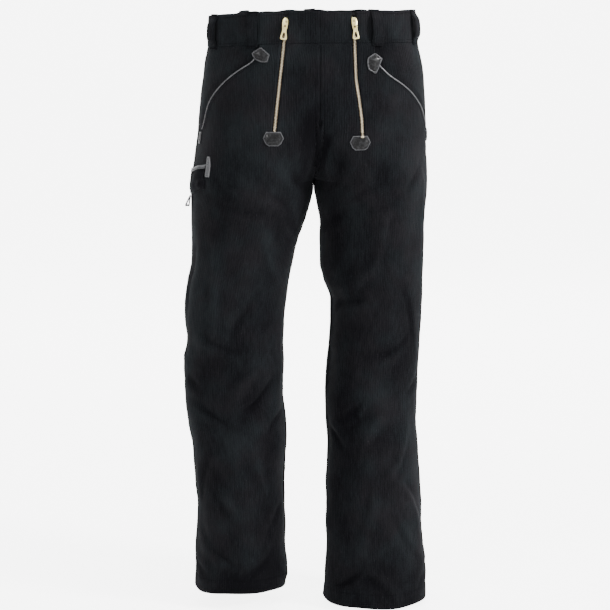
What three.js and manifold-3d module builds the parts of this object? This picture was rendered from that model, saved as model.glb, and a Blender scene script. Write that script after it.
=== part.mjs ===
// Journeyman trousers in fine-wale corduroy, worn shape kept hollow.
// Units mm, +Z up, front of the garment faces -Y, wearer's right is -X.
// Origin: centre of the waist at mid-height of the waistband.
import * as THREE from 'three';
import Module from 'manifold-3d';

const wasm = await Module();
wasm.setup();

// ---------------------------------------------------------------- driving sizes
const BAND_HALF = 27.5; // half the waistband height
const FORK_Z = -272; // where the legs part
const HEM_RIGHT = -1031;
const HEM_LEFT = -1053;
const CLOTH = 1.6; // wall of one layer of corduroy
const GAP = 0.3; // clearance along every seam
const SIDE_SEAM = 176; // degrees round the leg from its inner side, over the front
const SLIT = 8.0; // width of a zip opening
const CHAIN = 6.8; // width of the closed zip chain
const ZIP_END = -183; // lower end of the zip openings
const LOOP_WIDTH = 20;
const LOOP_STAND = 8; // clear height under a belt loop
const LOOP_STAND_BACK = 9.6; // the same on the rounder back
const LEATHER = 1.4;
const TILT = 9; // drop of the waist at the wearer's right side
const DEG = Math.PI / 180;

// Sections of the hips. The section of one half runs past the middle plane by a share
// of its outer reach and is cut off there, which shapes the crotch seam.
// columns: height, share past the middle, outer reach right and left, front, back, squareness
const HIPS = [
  [27.5, 1, 188, 179, -97, 96, 0.07],
  [-27.5, 1, 190, 184, -99, 103, 0.07],
  [-60, 0.97, 196, 191, -102, 114, 0.07],
  [-95, 0.9, 200, 198, -104, 126, 0.07],
  [-130, 0.73, 203, 201, -105, 137, 0.07],
  [-165, 0.51, 206, 203, -106, 145, 0.06],
  [-200, 0.31, 210, 204.5, -106, 149, 0.06],
  [-225, 0.19, 213, 205.5, -105, 149.5, 0.05],
  [-247, 0.093, 216, 206, -104, 148.5, 0.05],
  [-260, 0.038, 218, 206, -103, 147, 0.05],
  [-268, 0.0105, 219, 206, -102.5, 145.5, 0.05],
  [FORK_Z, -0.001, 219.5, 206, -102, 144.5, 0.05],
];

// Sections of the legs, sizes from the middle plane outwards.
// columns: height, inner reach, outer reach, front, back, squareness
const LEG_RIGHT = [
  [-290, 0.9, 221.5, -100, 140, 0.05],
  [-311, 5.5, 222, -97, 134, 0.05],
  [-347, 18, 222, -93, 126, 0.05],
  [-384, 31, 221, -89, 117, 0.05],
  [-420, 40, 223, -86, 109, 0.05],
  [-457, 47, 230, -83, 102, 0.05],
  [-494, 53, 234, -80, 96, 0.05],
  [-531, 57, 235, -77, 91, 0.05],
  [-568, 57, 235, -75, 87, 0.05],
  [-606, 56, 237, -73, 84, 0.05],
  [-643, 58, 237, -71, 82, 0.05],
  [-681, 56, 235, -69, 82, 0.05],
  [-719, 52, 230, -68, 83, 0.05],
  [-757, 51, 224, -67, 84, 0.05],
  [-795, 54, 222, -66, 85, 0.05],
  [-833, 56, 219, -65, 86, 0.05],
  [-871, 55, 216, -64, 87, 0.05],
  [-910, 53, 218, -62, 88, 0.05],
  [-948, 54, 220, -60, 89, 0.05],
  [-987, 51, 220, -58, 91, 0.05],
  [HEM_RIGHT, 54, 221, -56, 93, 0.05],
];
const LEG_LEFT = [
  [-290, 0.9, 205, -101, 140, 0.05],
  [-311, 4.5, 203, -98, 134, 0.05],
  [-347, 11, 200, -94, 126, 0.05],
  [-384, 10, 198, -91, 118, 0.05],
  [-420, 10, 197, -89, 111, 0.05],
  [-457, 17, 197, -87, 104, 0.05],
  [-494, 30, 196, -85, 98, 0.05],
  [-531, 30, 195, -83, 92, 0.05],
  [-568, 27, 194, -82, 87, 0.05],
  [-606, 25, 192, -81, 84, 0.05],
  [-643, 22, 190, -80, 81, 0.05],
  [-681, 21, 190, -80, 79, 0.05],
  [-719, 23, 189, -81, 77, 0.05],
  [-757, 25, 191, -82, 75, 0.05],
  [-795, 22, 194, -83, 74, 0.05],
  [-833, 20, 196, -84, 73, 0.05],
  [-871, 21, 197, -85, 72, 0.05],
  [-910, 21, 198, -86, 71, 0.05],
  [-948, 22, 201, -87, 70, 0.05],
  [-987, 20, 206, -88, 70, 0.05],
  [HEM_LEFT, 16, 208, -90, 70, 0.05],
];

// Largest folds. columns: degrees round, height, lean from upright in degrees,
// half length, half width, depth (+ ridge, - trough)
const FOLDS_RIGHT = [
  [70, -305, 62, 60, 17, 4],
  [92, -262, 56, 55, 15, -3.5],
  [150, -395, 4, 90, 20, 4],
  [172, -560, 80, 40, 17, -4],
  [120, -600, 70, 60, 20, -3],
  [60, -660, -48, 50, 16, -5],
  [100, -1005, 70, 60, 20, -3],
  [262, -330, 66, 70, 24, -7],
  [235, -372, 60, 60, 22, 5],
  [270, -575, 84, 80, 20, -6],
  [268, -640, 84, 70, 22, 4],
  [230, -930, 60, 60, 22, -4],
];
const FOLDS_LEFT = [
  [66, -300, 60, 60, 17, 4],
  [95, -258, 54, 55, 15, -3.5],
  [150, -380, -8, 80, 20, 4.5],
  [30, -470, 70, 45, 18, -5],
  [100, -590, 72, 60, 20, -3],
  [66, -700, 50, 45, 16, -5],
  [140, -890, -35, 70, 20, 3.5],
  [60, -1010, 60, 45, 18, -4],
  [262, -325, 66, 70, 24, -7],
  [235, -368, 60, 60, 22, 5],
  [270, -590, 84, 80, 20, -6],
  [262, -660, 80, 70, 22, 4],
  [235, -960, 62, 60, 22, -4],
];

// Curved mouth of the front pockets. columns: height, degrees round
const MOUTH_RIGHT = [
  [-20, 121.5],
  [-42, 121.5],
  [-56, 123],
  [-70, 131.5],
  [-85, 139],
  [-100, 145.5],
  [-115, 151],
  [-130, 155],
  [-145, 158],
  [-176, 161.5],
  [-190, 171],
];
const MOUTH_LEFT = [
  [-20, 120.5],
  [-56, 119.5],
  [-65, 119.8],
  [-85, 126],
  [-100, 134.5],
  [-115, 142],
  [-130, 148.5],
  [-145, 154.5],
  [-162, 160],
  [-195, 172],
];
const MOUTH_END = -190;

// Line of the zips. columns: height, distance from the middle plane
const ZIP_RIGHT = [
  [30, 58.5],
  [-20, 61],
  [-183, 80],
];
const ZIP_LEFT = [
  [30, 59.5],
  [-20, 61],
  [-46, 61.5],
  [-90, 63],
  [-125, 68.5],
  [-159, 73],
  [-183, 73.5],
];

// Leather patches, sizes along the cloth. columns: up, inner edge, outer edge
const POCKET_PATCH_RIGHT = [
  [12, 0, 4],
  [3, -11, 17],
  [-1, -16, 15],
  [-9, -15, 8],
  [-14, -14, -4],
];
const POCKET_PATCH_LEFT = [
  [17, 3, 6],
  [10, -10, 14],
  [7, -12, 17],
  [0, -14, 12],
  [-11, -14, 5],
  [-18, -4, -1],
];
const ZIP_PATCH = [
  [12.5, -13, 13],
  [1, -18.5, 18.5],
  [-9, -13.5, 13.5],
  [-13, -8, 8],
];
const END_PATCH = [
  [11, -6.5, 6.5],
  [0, -8, 8.5],
  [-11, -6.5, 7],
];
const STRIP_PATCH = [
  [18, -4, 2.4],
  [15.5, -5.6, 3],
  [2, -10.6, 0.6],
  [-18, -14, -2],
];

// ---------------------------------------------------------------- surface of the garment
const hipsOf = (pick) => HIPS.map((row) => {
  const [level, share, , , ...rest] = row;
  return [level, -share * row[pick], row[pick], ...rest];
});
const sectionsOf = {
  '-1': hipsOf(2).concat(LEG_RIGHT).reverse(),
  1: hipsOf(3).concat(LEG_LEFT).reverse(),
};
const foldsOf = { '-1': FOLDS_RIGHT, 1: FOLDS_LEFT };
const mouthOf = { '-1': MOUTH_RIGHT, 1: MOUTH_LEFT };
const zipOf = { '-1': ZIP_RIGHT, 1: ZIP_LEFT };
const hemOf = { '-1': HEM_RIGHT, 1: HEM_LEFT };

// Smooth curve through the rows of a table sorted by rising first column.
function smoothRow(rows, z) {
  const last = rows.length - 1;
  let i = 0;
  while (i < last - 1 && z > rows[i + 1][0]) i += 1;
  const span = (k) => rows[k + 1][0] - rows[k][0];
  const rate = (k, c) => (rows[k + 1][c] - rows[k][c]) / span(k);
  const slope = (k, c) => {
    if (k === 0) return rate(0, c);
    if (k === last) return rate(last - 1, c);
    const below = rate(k - 1, c);
    const above = rate(k, c);
    return below * above > 0 ? (2 * below * above) / (below + above) : 0;
  };
  const h = span(i);
  const t = (z - rows[i][0]) / h;
  const out = [];
  for (let c = 1; c < rows[0].length; c += 1) {
    const a = (2 * t ** 3 - 3 * t ** 2 + 1) * rows[i][c];
    const b = (t ** 3 - 2 * t ** 2 + t) * h * slope(i, c);
    const d = (-2 * t ** 3 + 3 * t ** 2) * rows[i + 1][c];
    const e = (t ** 3 - t ** 2) * h * slope(i + 1, c);
    out.push(a + b + d + e);
  }
  return out;
}

// Straight run between the rows of a table, heights falling.
function along(rows, z) {
  let i = 0;
  while (i < rows.length - 2 && z < rows[i + 1][0]) i += 1;
  const t = (z - rows[i][0]) / (rows[i + 1][0] - rows[i][0]);
  return rows[i][1] + (rows[i + 1][1] - rows[i][1]) * t;
}

function smoothStep(a, b, x) {
  const t = Math.min(1, Math.max(0, (x - a) / (b - a)));
  return t * t * (3 - 2 * t);
}

// Height of the folds over the plain section, in mm.
function foldHeight(side, deg, z) {
  let sum = 0;
  for (const [at, level, lean, length, width, depth] of foldsOf[side]) {
    let turn = deg - at;
    turn -= 360 * Math.round(turn / 360);
    const u = turn * 1.75;
    const v = z - level;
    const run = u * Math.sin(lean * DEG) + v * Math.cos(lean * DEG);
    const off = u * Math.cos(lean * DEG) - v * Math.sin(lean * DEG);
    sum += depth * Math.exp(-((run / length) ** 2) - (off / width) ** 2);
  }
  return sum;
}

// Point of the outer face: side -1 right or +1 left, degrees round, height.
function skin(side, deg, z) {
  const [inner, outer, front, back, square] = smoothRow(sectionsOf[side], z);
  const mid = (inner + outer) / 2;
  const wide = (outer - inner) / 2;
  const centre = (front + back) / 2;
  const deep = (back - front) / 2;
  const c = Math.cos(deg * DEG);
  const s = Math.sin(deg * DEG);
  const x0 = mid - wide * c * (1 + square * s * s);
  const y0 = centre - deep * s * (1 + square * c * c);
  const calm = smoothStep(0, 40, x0 + Math.max(0, FORK_Z - z));
  const out = foldHeight(side, deg, z) * calm;
  const n = Math.hypot(c / wide, s / deep);
  const x = x0 - (c / wide / n) * out;
  const y = y0 - (s / deep / n) * out;
  const lean = side < 0 ? Math.min(1.2, Math.max(0, x / 190)) ** 2 : 0;
  const drop = TILT * lean * Math.min(1, Math.max(0, (z + 200) / 170));
  return new THREE.Vector3(side * x, y, z - drop);
}

// Outward direction of the outer face.
function outward(side, deg, z) {
  const a = skin(side, deg + 0.5, z).sub(skin(side, deg - 0.5, z));
  const b = skin(side, deg, z + 1).sub(skin(side, deg, z - 1));
  return b.cross(a).normalize().multiplyScalar(-side);
}

// Point lifted off the outer face.
function lifted(side, deg, z, lift) {
  return skin(side, deg, z).addScaledVector(outward(side, deg, z), lift);
}

// Arc in mm for one degree round at this place.
function arcPerDegree(side, deg, z) {
  return skin(side, deg + 0.5, z).distanceTo(skin(side, deg - 0.5, z));
}

// Degrees round on the front where the outer face is this far from the middle plane.
function degreesAt(side, reach, z, low = 0, high = 178) {
  let a = low;
  let b = high;
  for (let k = 0; k < 40; k += 1) {
    const m = (a + b) / 2;
    if (Math.abs(skin(side, m, z).x) * Math.sign(skin(side, m, z).x * side) < reach) a = m;
    else b = m;
  }
  return (a + b) / 2;
}

// Inner edge of the front panel: middle plane above the fork, inseam below it.
function frontInner(side, z) {
  if (z > FORK_Z) return degreesAt(side, GAP / 2, z, 0, 92);
  return 7 * smoothStep(0, 60, FORK_Z - z) + GAP / 2 / arcPerDegree(side, 1, z);
}

function backInner(side, z) {
  if (z > FORK_Z) {
    return 360 - degreesAt(side, GAP / 2, z, 0, 92);
  }
  return 360 + frontInner(side, z) - GAP / arcPerDegree(side, 1, z);
}

function seamShift(side, deg, z) {
  return GAP / 2 / arcPerDegree(side, deg, z);
}

// ---------------------------------------------------------------- solids
function asGeometry(points, faces) {
  const geometry = new THREE.BufferGeometry();
  const flat = points.flatMap((p) => [p.x, p.y, p.z]);
  geometry.setAttribute('position', new THREE.Float32BufferAttribute(flat, 3));
  geometry.setIndex(faces.flat());
  geometry.computeVertexNormals();
  return geometry;
}

function volumeOf(points, faces) {
  let sum = 0;
  for (const [a, b, c] of faces) {
    sum += points[a].dot(points[b].clone().cross(points[c]));
  }
  return sum / 6;
}

// Closed wall between an outer and an inner grid of points, rows by columns.
function wall(outer, inner) {
  const rows = outer.length;
  const cols = outer[0].length;
  const points = outer.flat().concat(inner.flat());
  const at = (layer, i, j) => layer * rows * cols + i * cols + j;
  const faces = [];
  const quad = (a, b, c, d) => faces.push([a, b, c], [a, c, d]);
  for (let i = 0; i < rows - 1; i += 1) {
    for (let j = 0; j < cols - 1; j += 1) {
      const falling = outer[i][j].distanceTo(outer[i + 1][j + 1]);
      const rising = outer[i][j + 1].distanceTo(outer[i + 1][j]);
      const ring = [[i, j], [i, j + 1], [i + 1, j + 1], [i + 1, j]];
      if (rising < falling) ring.push(ring.shift());
      quad(...ring.map(([a, b]) => at(0, a, b)));
      const back = [ring[0], ring[3], ring[2], ring[1]];
      quad(...back.map(([a, b]) => at(1, a, b)));
    }
  }
  for (let j = 0; j < cols - 1; j += 1) {
    quad(at(0, 0, j + 1), at(0, 0, j), at(1, 0, j), at(1, 0, j + 1));
    quad(at(0, rows - 1, j), at(0, rows - 1, j + 1), at(1, rows - 1, j + 1), at(1, rows - 1, j));
  }
  for (let i = 0; i < rows - 1; i += 1) {
    quad(at(0, i, 0), at(0, i + 1, 0), at(1, i + 1, 0), at(1, i, 0));
    quad(at(0, i + 1, cols - 1), at(0, i, cols - 1), at(1, i, cols - 1), at(1, i + 1, cols - 1));
  }
  if (volumeOf(points, faces) < 0) faces.forEach((f) => f.reverse());
  return asGeometry(points, faces);
}

// Piece of cloth between two edges, given by heights and by degrees round.
function piece({ side, heights, from, to, columns, top, under, spread = evenSpread }) {
  const value = (f, d, z) => (typeof f === 'function' ? f(d, z) : f);
  const grid = (lift) => heights.map((z) => {
    const a = from(z);
    const b = to(z);
    const row = [];
    for (let j = 0; j <= columns; j += 1) {
      const d = spread(a, b, j / columns);
      row.push(lifted(side, d, z, value(lift, d, z)));
    }
    return row;
  });
  return wall(grid(top), grid(under));
}

function evenSpread(a, b, t) {
  return a + (b - a) * t;
}

// Columns of a front panel, crowding towards its inner edge close to the fork.
function frontSpread(a, b, t) {
  const power = 1 + 4 * Math.max(0, 1 - a / 80);
  return b * t + a * (1 - t) ** power;
}

function backSpread(a, b, t) {
  return 360 - frontSpread(360 - b, 360 - a, 1 - t);
}

// Leather patch lying on the cloth, its rows given from a centre: degrees round, or a
// distance from the middle plane.
function patch({ side, round, reach, z, rows, lift, thick, columns = 3, dome = 0 }) {
  const grid = (base, rise) => rows.map(([up, a, b], i) => {
    const level = z + up;
    const deg = reach ? degreesAt(side, reach, level) : round;
    const per = arcPerDegree(side, deg, level);
    const row = [];
    for (let j = 0; j <= columns; j += 1) {
      const u = a + ((b - a) * j) / columns;
      const edge = i === 0 || i === rows.length - 1 || j === 0 || j === columns;
      row.push(lifted(side, deg + u / per, level, base + (edge ? 0 : rise)));
    }
    return row;
  });
  return wall(grid(lift + thick, dome), grid(lift, 0));
}

function toManifold(geometry) {
  const position = geometry.getAttribute('position');
  const mesh = new wasm.Mesh({
    numProp: 3,
    vertProperties: Float32Array.from(position.array),
    triVerts: Uint32Array.from(geometry.index.array),
  });
  return new wasm.Manifold(mesh);
}

function fromManifold(solid) {
  const mesh = solid.getMesh();
  const geometry = new THREE.BufferGeometry();
  const points = Float32Array.from(mesh.vertProperties);
  geometry.setAttribute('position', new THREE.BufferAttribute(points, 3));
  geometry.setIndex(Array.from(mesh.triVerts));
  geometry.computeVertexNormals();
  return geometry;
}

function cut(geometry, cutter) {
  return fromManifold(toManifold(geometry).subtract(toManifold(cutter)));
}

function join(list) {
  return fromManifold(list.map(toManifold).reduce((a, b) => a.add(b)));
}

function span(a, b, steps) {
  return Array.from({ length: steps + 1 }, (_, k) => a + ((b - a) * k) / steps);
}

// ---------------------------------------------------------------- looks and parts list
const looks = {
  cloth: { color: 0x1f2022, roughness: 0.95, metalness: 0 },
  leather: { color: 0x4a4a4b, roughness: 0.55, metalness: 0 },
  tape: { color: 0x141415, roughness: 0.9, metalness: 0 },
  brass: { color: 0xd8bd7a, roughness: 0.32, metalness: 1 },
};
const group = new THREE.Group();
group.name = 'journeyman_trousers';

function add(name, geometry, look) {
  const material = new THREE.MeshStandardMaterial(looks[look]);
  const mesh = new THREE.Mesh(geometry, material);
  mesh.name = name;
  group.add(mesh);
}

// ---------------------------------------------------------------- trouser panels
const MOUTH_HEIGHTS = [-27.8, -42, -56, -70, -85, -100, -115, -130, -145, -162, -178, -190];
const SEAT_HEIGHTS = [-27.8, -55, -82, -109, -136, -163, -190];
const FORK_HEIGHTS = [-210, -228, -243, -255, -264, -269.5];
const LEG_HEIGHTS = [
  -272, -279, -294, -318, -348, -384, -422, -460, -498, -536, -576, -616, -656, -700, -744, -790,
  -838, -888, -938, -986,
];

function panelHeights(side, hips) {
  return hips.concat(FORK_HEIGHTS, LEG_HEIGHTS, [hemOf[side]]);
}

// Outer edge of the front panel: pocket mouth above, side seam below it.
function frontOuter(side, z) {
  return z > MOUTH_END ? along(mouthOf[side], z) : SIDE_SEAM;
}

function zipCutter(side, width) {
  return piece({
    side,
    heights: span(-10, ZIP_END, 9),
    from: (z) => degreesAt(side, along(zipOf[side], z) - width / 2, z, 60),
    to: (z) => degreesAt(side, along(zipOf[side], z) + width / 2, z, 60),
    columns: 1,
    top: 7,
    under: -7,
  });
}

function frontPanel(side) {
  const outerEdge = (z) => {
    const deg = frontOuter(side, z);
    return deg - seamShift(side, deg, z);
  };
  const body = piece({
    side,
    heights: panelHeights(side, MOUTH_HEIGHTS),
    from: (z) => frontInner(side, z),
    to: outerEdge,
    columns: 11,
    top: 0,
    under: -CLOTH,
    spread: frontSpread,
  });
  return cut(body, zipCutter(side, SLIT));
}

function backPanel(side) {
  return piece({
    side,
    heights: panelHeights(side, SEAT_HEIGHTS),
    from: (z) => SIDE_SEAM + seamShift(side, SIDE_SEAM, z),
    to: (z) => backInner(side, z),
    columns: 10,
    top: 0,
    under: -CLOTH,
    spread: backSpread,
  });
}

// Hip piece behind the pocket mouth, tucked under the front panel.
function pocketFacing(side) {
  const sunk = (deg, z) => {
    const beyond = (deg - frontOuter(side, z)) * arcPerDegree(side, deg, z);
    return -2.8 * (1 - smoothStep(4, 24, beyond)) - smoothStep(-165, -185, z);
  };
  const mouth = mouthOf[side];
  return piece({
    side,
    heights: MOUTH_HEIGHTS.slice(0, -1).concat(-185),
    from: (z) => along(mouth, z) - 8 / arcPerDegree(side, along(mouth, z), z),
    to: (z) => SIDE_SEAM - seamShift(side, SIDE_SEAM, z),
    columns: 6,
    top: sunk,
    under: (deg, z) => sunk(deg, z) - CLOTH,
  });
}

// Leather lip sewn to the edge of the pocket mouth.
function pocketPiping(side) {
  const mouth = mouthOf[side];
  const edge = (z, step) => {
    const deg = along(mouth, z);
    return deg + step / arcPerDegree(side, deg, z);
  };
  return piece({
    side,
    heights: MOUTH_HEIGHTS.slice(2, -1),
    from: (z) => edge(z, 0.5),
    to: (z) => edge(z, slantWidth(side, z)),
    columns: 1,
    top: 0.5,
    under: -1.2,
  });
}

// Width along the section that gives the piping 2.3 mm across its slanting run.
function slantWidth(side, z) {
  const mouth = mouthOf[side];
  const deg = along(mouth, z);
  const here = skin(side, deg, z);
  const next = skin(side, along(mouth, z - 2), z - 2);
  const slope = here.distanceTo(next) / 2;
  return 0.5 + 2.3 * Math.min(3.2, Math.max(1, slope));
}

// ---------------------------------------------------------------- waistband
const BAND_LEVELS = [BAND_HALF, 9, -9, -BAND_HALF + 0.2];
const BAND_TOP = 0.4;
const BAND_UNDER = -2.4;

function bandPart(side, from, to, columns) {
  return piece({
    side,
    heights: BAND_LEVELS,
    from,
    to,
    columns,
    top: BAND_TOP,
    under: BAND_UNDER,
  });
}

function zipEdge(side, offset) {
  return (z) => degreesAt(side, along(zipOf[side], z) + offset, z, 60);
}

// ---------------------------------------------------------------- belt loops
// columns: height, share of the clear height under the strap
const LOOP_RUN = [
  [29, 0],
  [23, 0],
  [18, 0.4],
  [13, 0.9],
  [4, 1],
  [-6, 1],
  [-15, 0.9],
  [-21, 0.4],
  [-26, 0],
  [-32, 0],
];

function beltLoop(side, deg, stand = LOOP_STAND) {
  const half = LOOP_WIDTH / 2;
  const grid = (extra) => LOOP_RUN.map(([z, share]) => {
    const per = arcPerDegree(side, deg, z);
    const lift = 0.9 + share * (stand - 0.5) + extra;
    return [-half, 0, half].map((u) => lifted(side, deg + u / per, z, lift));
  });
  return wall(grid(2), grid(0));
}

// ---------------------------------------------------------------- zips
function zipRun(side, width, top, bottom, over, under, steps) {
  return piece({
    side,
    heights: span(top, bottom, steps),
    from: (z) => degreesAt(side, along(zipOf[side], z) - width / 2, z, 55),
    to: (z) => degreesAt(side, along(zipOf[side], z) + width / 2, z, 55),
    columns: 1,
    top: over,
    under,
  });
}

// Frame of the slider: origin on the band, x along the waist, y up the chain, z outwards.
const HINGE_LEVEL = 3;
const HINGE_LIFT = 4;
function sliderFrame(side) {
  const deg = degreesAt(side, along(zipOf[side], HINGE_LEVEL), HINGE_LEVEL, 60);
  const at = skin(side, deg, HINGE_LEVEL);
  const n = outward(side, deg, HINGE_LEVEL);
  const down = skin(side, degreesAt(side, along(zipOf[side], -16) + 1.2, -16, 60), -16);
  const up = at.clone().sub(down);
  up.addScaledVector(n, -up.dot(n)).normalize();
  const across = up.clone().cross(n).normalize();
  const frame = new THREE.Matrix4().makeBasis(across, up, n);
  frame.setPosition(at);
  return frame;
}

// Flat plate from an outline of [across, up] corners, between two lifts.
function plate(outline, low, high, hole = null) {
  const shape = new THREE.Shape(outline.map(([a, b]) => new THREE.Vector2(a, b)));
  if (hole) {
    hole.forEach((h) => shape.holes.push(new THREE.Path(h.map(([a, b]) => new THREE.Vector2(a, b)))));
  }
  const raw = new THREE.ExtrudeGeometry(shape, { depth: high - low, bevelEnabled: false });
  raw.translate(0, 0, low);
  return weld(raw);
}

// Shared corners for an extruded shape.
function weld(raw) {
  const source = raw.index ? raw.toNonIndexed() : raw;
  const position = source.getAttribute('position');
  const seen = new Map();
  const points = [];
  const faces = [];
  for (let i = 0; i < position.count; i += 3) {
    const face = [];
    for (let k = 0; k < 3; k += 1) {
      const p = new THREE.Vector3().fromBufferAttribute(position, i + k);
      const key = p.toArray().map((value) => Math.round(value * 1e4) + 0).join();
      if (!seen.has(key)) {
        seen.set(key, points.length);
        points.push(p);
      }
      face.push(seen.get(key));
    }
    if (new Set(face).size === 3) faces.push(face);
  }
  return asGeometry(points, faces);
}

function box(a0, a1, b0, b1, c0, c1) {
  return plate([[a0, b0], [a1, b0], [a1, b1], [a0, b1]], c0, c1);
}

// Slider with front plate, neck through the slit, rear plate and bridge.
function slider(side) {
  const outline = [
    [-3, -8], [3, -8], [4.2, -4], [4.9, 5], [4.4, 10.6], [2, 13.6], [-2, 13.6], [-4.4, 10.6],
    [-4.9, 5], [-4.2, -4],
  ];
  const front = plate(outline, 1, 2.6);
  const rear = plate(outline, -6, -4.8);
  const neck = box(-1.9, 1.9, 3.5, 11.6, -5.4, 1.8);
  const footLow = box(-1.7, 1.7, -4.8, -2.8, 2, 6.4);
  const footHigh = box(-1.7, 1.7, 2.8, 4.8, 2, 6.4);
  const bar = box(-1.7, 1.7, -4.8, 4.8, 5.4, 6.9);
  const solid = join([front, rear, neck, footLow, footHigh, bar]);
  return solid.applyMatrix4(sliderFrame(side));
}

// Pull tab: window round the bridge, widening to a rounded end with a keyhole.
function pullTab(side) {
  const low = HINGE_LIFT - 0.65;
  const high = HINGE_LIFT + 0.65;
  const outline = [
    [-3.7, 0.8], [3.7, 0.8], [3.7, -7.6], [4, -11], [5.3, -17], [5.8, -21], [5.2, -22.8],
    [3.8, -23.6], [-3.8, -23.6], [-5.2, -22.8], [-5.8, -21], [-5.3, -17], [-4, -11], [-3.7, -7.6],
  ];
  const windowHole = [[-2.5, -0.65], [-2.5, -6.2], [2.5, -6.2], [2.5, -0.65]];
  const keyhole = [
    [-1.4, -11.6], [-2.7, -17], [-2.4, -19.8], [-1.2, -21], [1.2, -21], [2.4, -19.8], [2.7, -17],
    [1.4, -11.6],
  ];
  return plate(outline, low, high, [windowHole, keyhole]).applyMatrix4(sliderFrame(side));
}

// ---------------------------------------------------------------- ruler pocket, wearer's right
const RULER = { from: 145.9, foot: 142.8, to: 181, top: -246.5, bottom: -284.5, stand: 6.4 };

function rulerSlope(deg) {
  return -0.56 * (Math.min(deg, 168) - RULER.from);
}

// Inner edge of the pocket: it steps inward below the leather strip.
function rulerFrom(level) {
  return RULER.from + (RULER.foot - RULER.from) * smoothStep(-263, -270.5, level);
}

function rulerLift(deg, u, v) {
  const sides = smoothStep(0, 0.17, u) * smoothStep(0, 0.5, 1 - u);
  const foot = smoothStep(0, 0.26, v);
  return 0.5 + RULER.stand * sides * foot;
}

function rulerPiece(levels, inner, outer) {
  const columns = 8;
  const grid = (extra) => levels.map(([level, v]) => {
    const row = [];
    for (let j = 0; j <= columns; j += 1) {
      const u = 0.5 - 0.5 * Math.cos((Math.PI * j) / columns);
      const deg = rulerFrom(level) + (RULER.to - rulerFrom(level)) * u;
      const z = level + rulerSlope(deg);
      row.push(lifted(-1, deg, z, rulerLift(deg, u, v) + extra));
    }
    return row;
  });
  return wall(grid(outer), grid(inner));
}

// Folded leather loop hanging at the side below the ruler pocket.
function leatherLoop() {
  const deg = 174;
  const z = -300;
  const at = lifted(-1, deg, z, 0.9);
  const shape = [[0, 0], [1.8, 0], [10.4, -17.2], [10.4, -19], [2.6, -19]];
  const hole = [[2.8, -6.4], [7.9, -16.8], [4.2, -16.8]];
  const raw = cut(plate(shape, -7, 7), plate(hole, -8, 8));
  const frame = new THREE.Matrix4().makeBasis(
    new THREE.Vector3(-1, 0, 0),
    new THREE.Vector3(0, 0, 1),
    new THREE.Vector3(0, 1, 0),
  );
  frame.setPosition(at);
  return raw.applyMatrix4(frame);
}

// ---------------------------------------------------------------- assembly
for (const [side, tag] of [[-1, 'right'], [1, 'left']]) {
  add(`front_${tag}`, frontPanel(side), 'cloth');
  add(`back_${tag}`, backPanel(side), 'cloth');
  add(`pocket_facing_${tag}`, pocketFacing(side), 'cloth');
  add(`pocket_piping_${tag}`, pocketPiping(side), 'leather');
  const centreFront = (z) => degreesAt(side, GAP / 2, z, 60);
  const centreBack = (z) => 360 - centreFront(z);
  add(`waistband_fly_${tag}`, bandPart(side, centreFront, zipEdge(side, -SLIT / 2), 3), 'cloth');
  add(`waistband_${tag}`, bandPart(side, zipEdge(side, SLIT / 2), centreBack, 18), 'cloth');

  const notch = zipRun(side, 6.6, 22, 3, 7, -9, 2);
  const tape = zipRun(side, 24, 25, ZIP_END - 6, -2.8, -3.5, 18);
  add(`zip_tape_${tag}`, cut(tape, notch), 'tape');
  add(`zip_chain_${tag}`, zipRun(side, CHAIN, -6.6, ZIP_END + 1, 0.5, -2.5, 20), 'brass');
  add(`zip_slider_${tag}`, slider(side), 'brass');
  add(`pull_tab_${tag}`, pullTab(side), 'brass');
  const [foot, level] = side < 0 ? [81.4, -191] : [70, -199];
  add(
    `zip_patch_${tag}`,
    patch({
      side, reach: foot, z: level, rows: ZIP_PATCH, lift: 0.6, thick: LEATHER, dome: 0.5,
    }),
    'leather',
  );
  const rows = side < 0 ? POCKET_PATCH_RIGHT : POCKET_PATCH_LEFT;
  const at = side < 0 ? [119.8, -44.5] : [118, -62];
  add(
    `pocket_patch_${tag}`,
    patch({ side, round: at[0], z: at[1], rows, lift: 0.9, thick: LEATHER, dome: 0.9 }),
    'leather',
  );
  const end = side < 0 ? [165.5, -195] : [172, -193];
  add(
    `pocket_end_${tag}`,
    patch({ side, round: end[0], z: end[1], rows: END_PATCH, lift: 0.6, thick: LEATHER, dome: 0.6 }),
    'leather',
  );
  add(`belt_loop_front_${tag}`, beltLoop(side, side < 0 ? 125.7 : 122), 'cloth');
  add(`belt_loop_side_${tag}`, beltLoop(side, 160), 'cloth');
  add(`belt_loop_back_${tag}`, beltLoop(side, 232, LOOP_STAND_BACK), 'cloth');
}
add('belt_loop_center_back', beltLoop(1, 270), 'cloth');

const body = [RULER.top, -255, -263, -266.5, -270.5, -275.5, -280, RULER.bottom];
const depth = RULER.top - RULER.bottom;
add(
  'ruler_pocket',
  rulerPiece(body.map((z) => [z, (z - RULER.bottom) / depth]), 0, CLOTH),
  'cloth',
);
add('ruler_pocket_binding', rulerPiece([[-239.5, 1], [-246.1, 1]], -0.4, 2.2), 'leather');
add(
  'ruler_pocket_strip',
  patch({
    side: -1, round: 145, z: -243.4, rows: STRIP_PATCH, lift: 0.5, thick: LEATHER, columns: 2,
  }),
  'leather',
);
add('ruler_pocket_loop', leatherLoop(), 'leather');

export default group;
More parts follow.
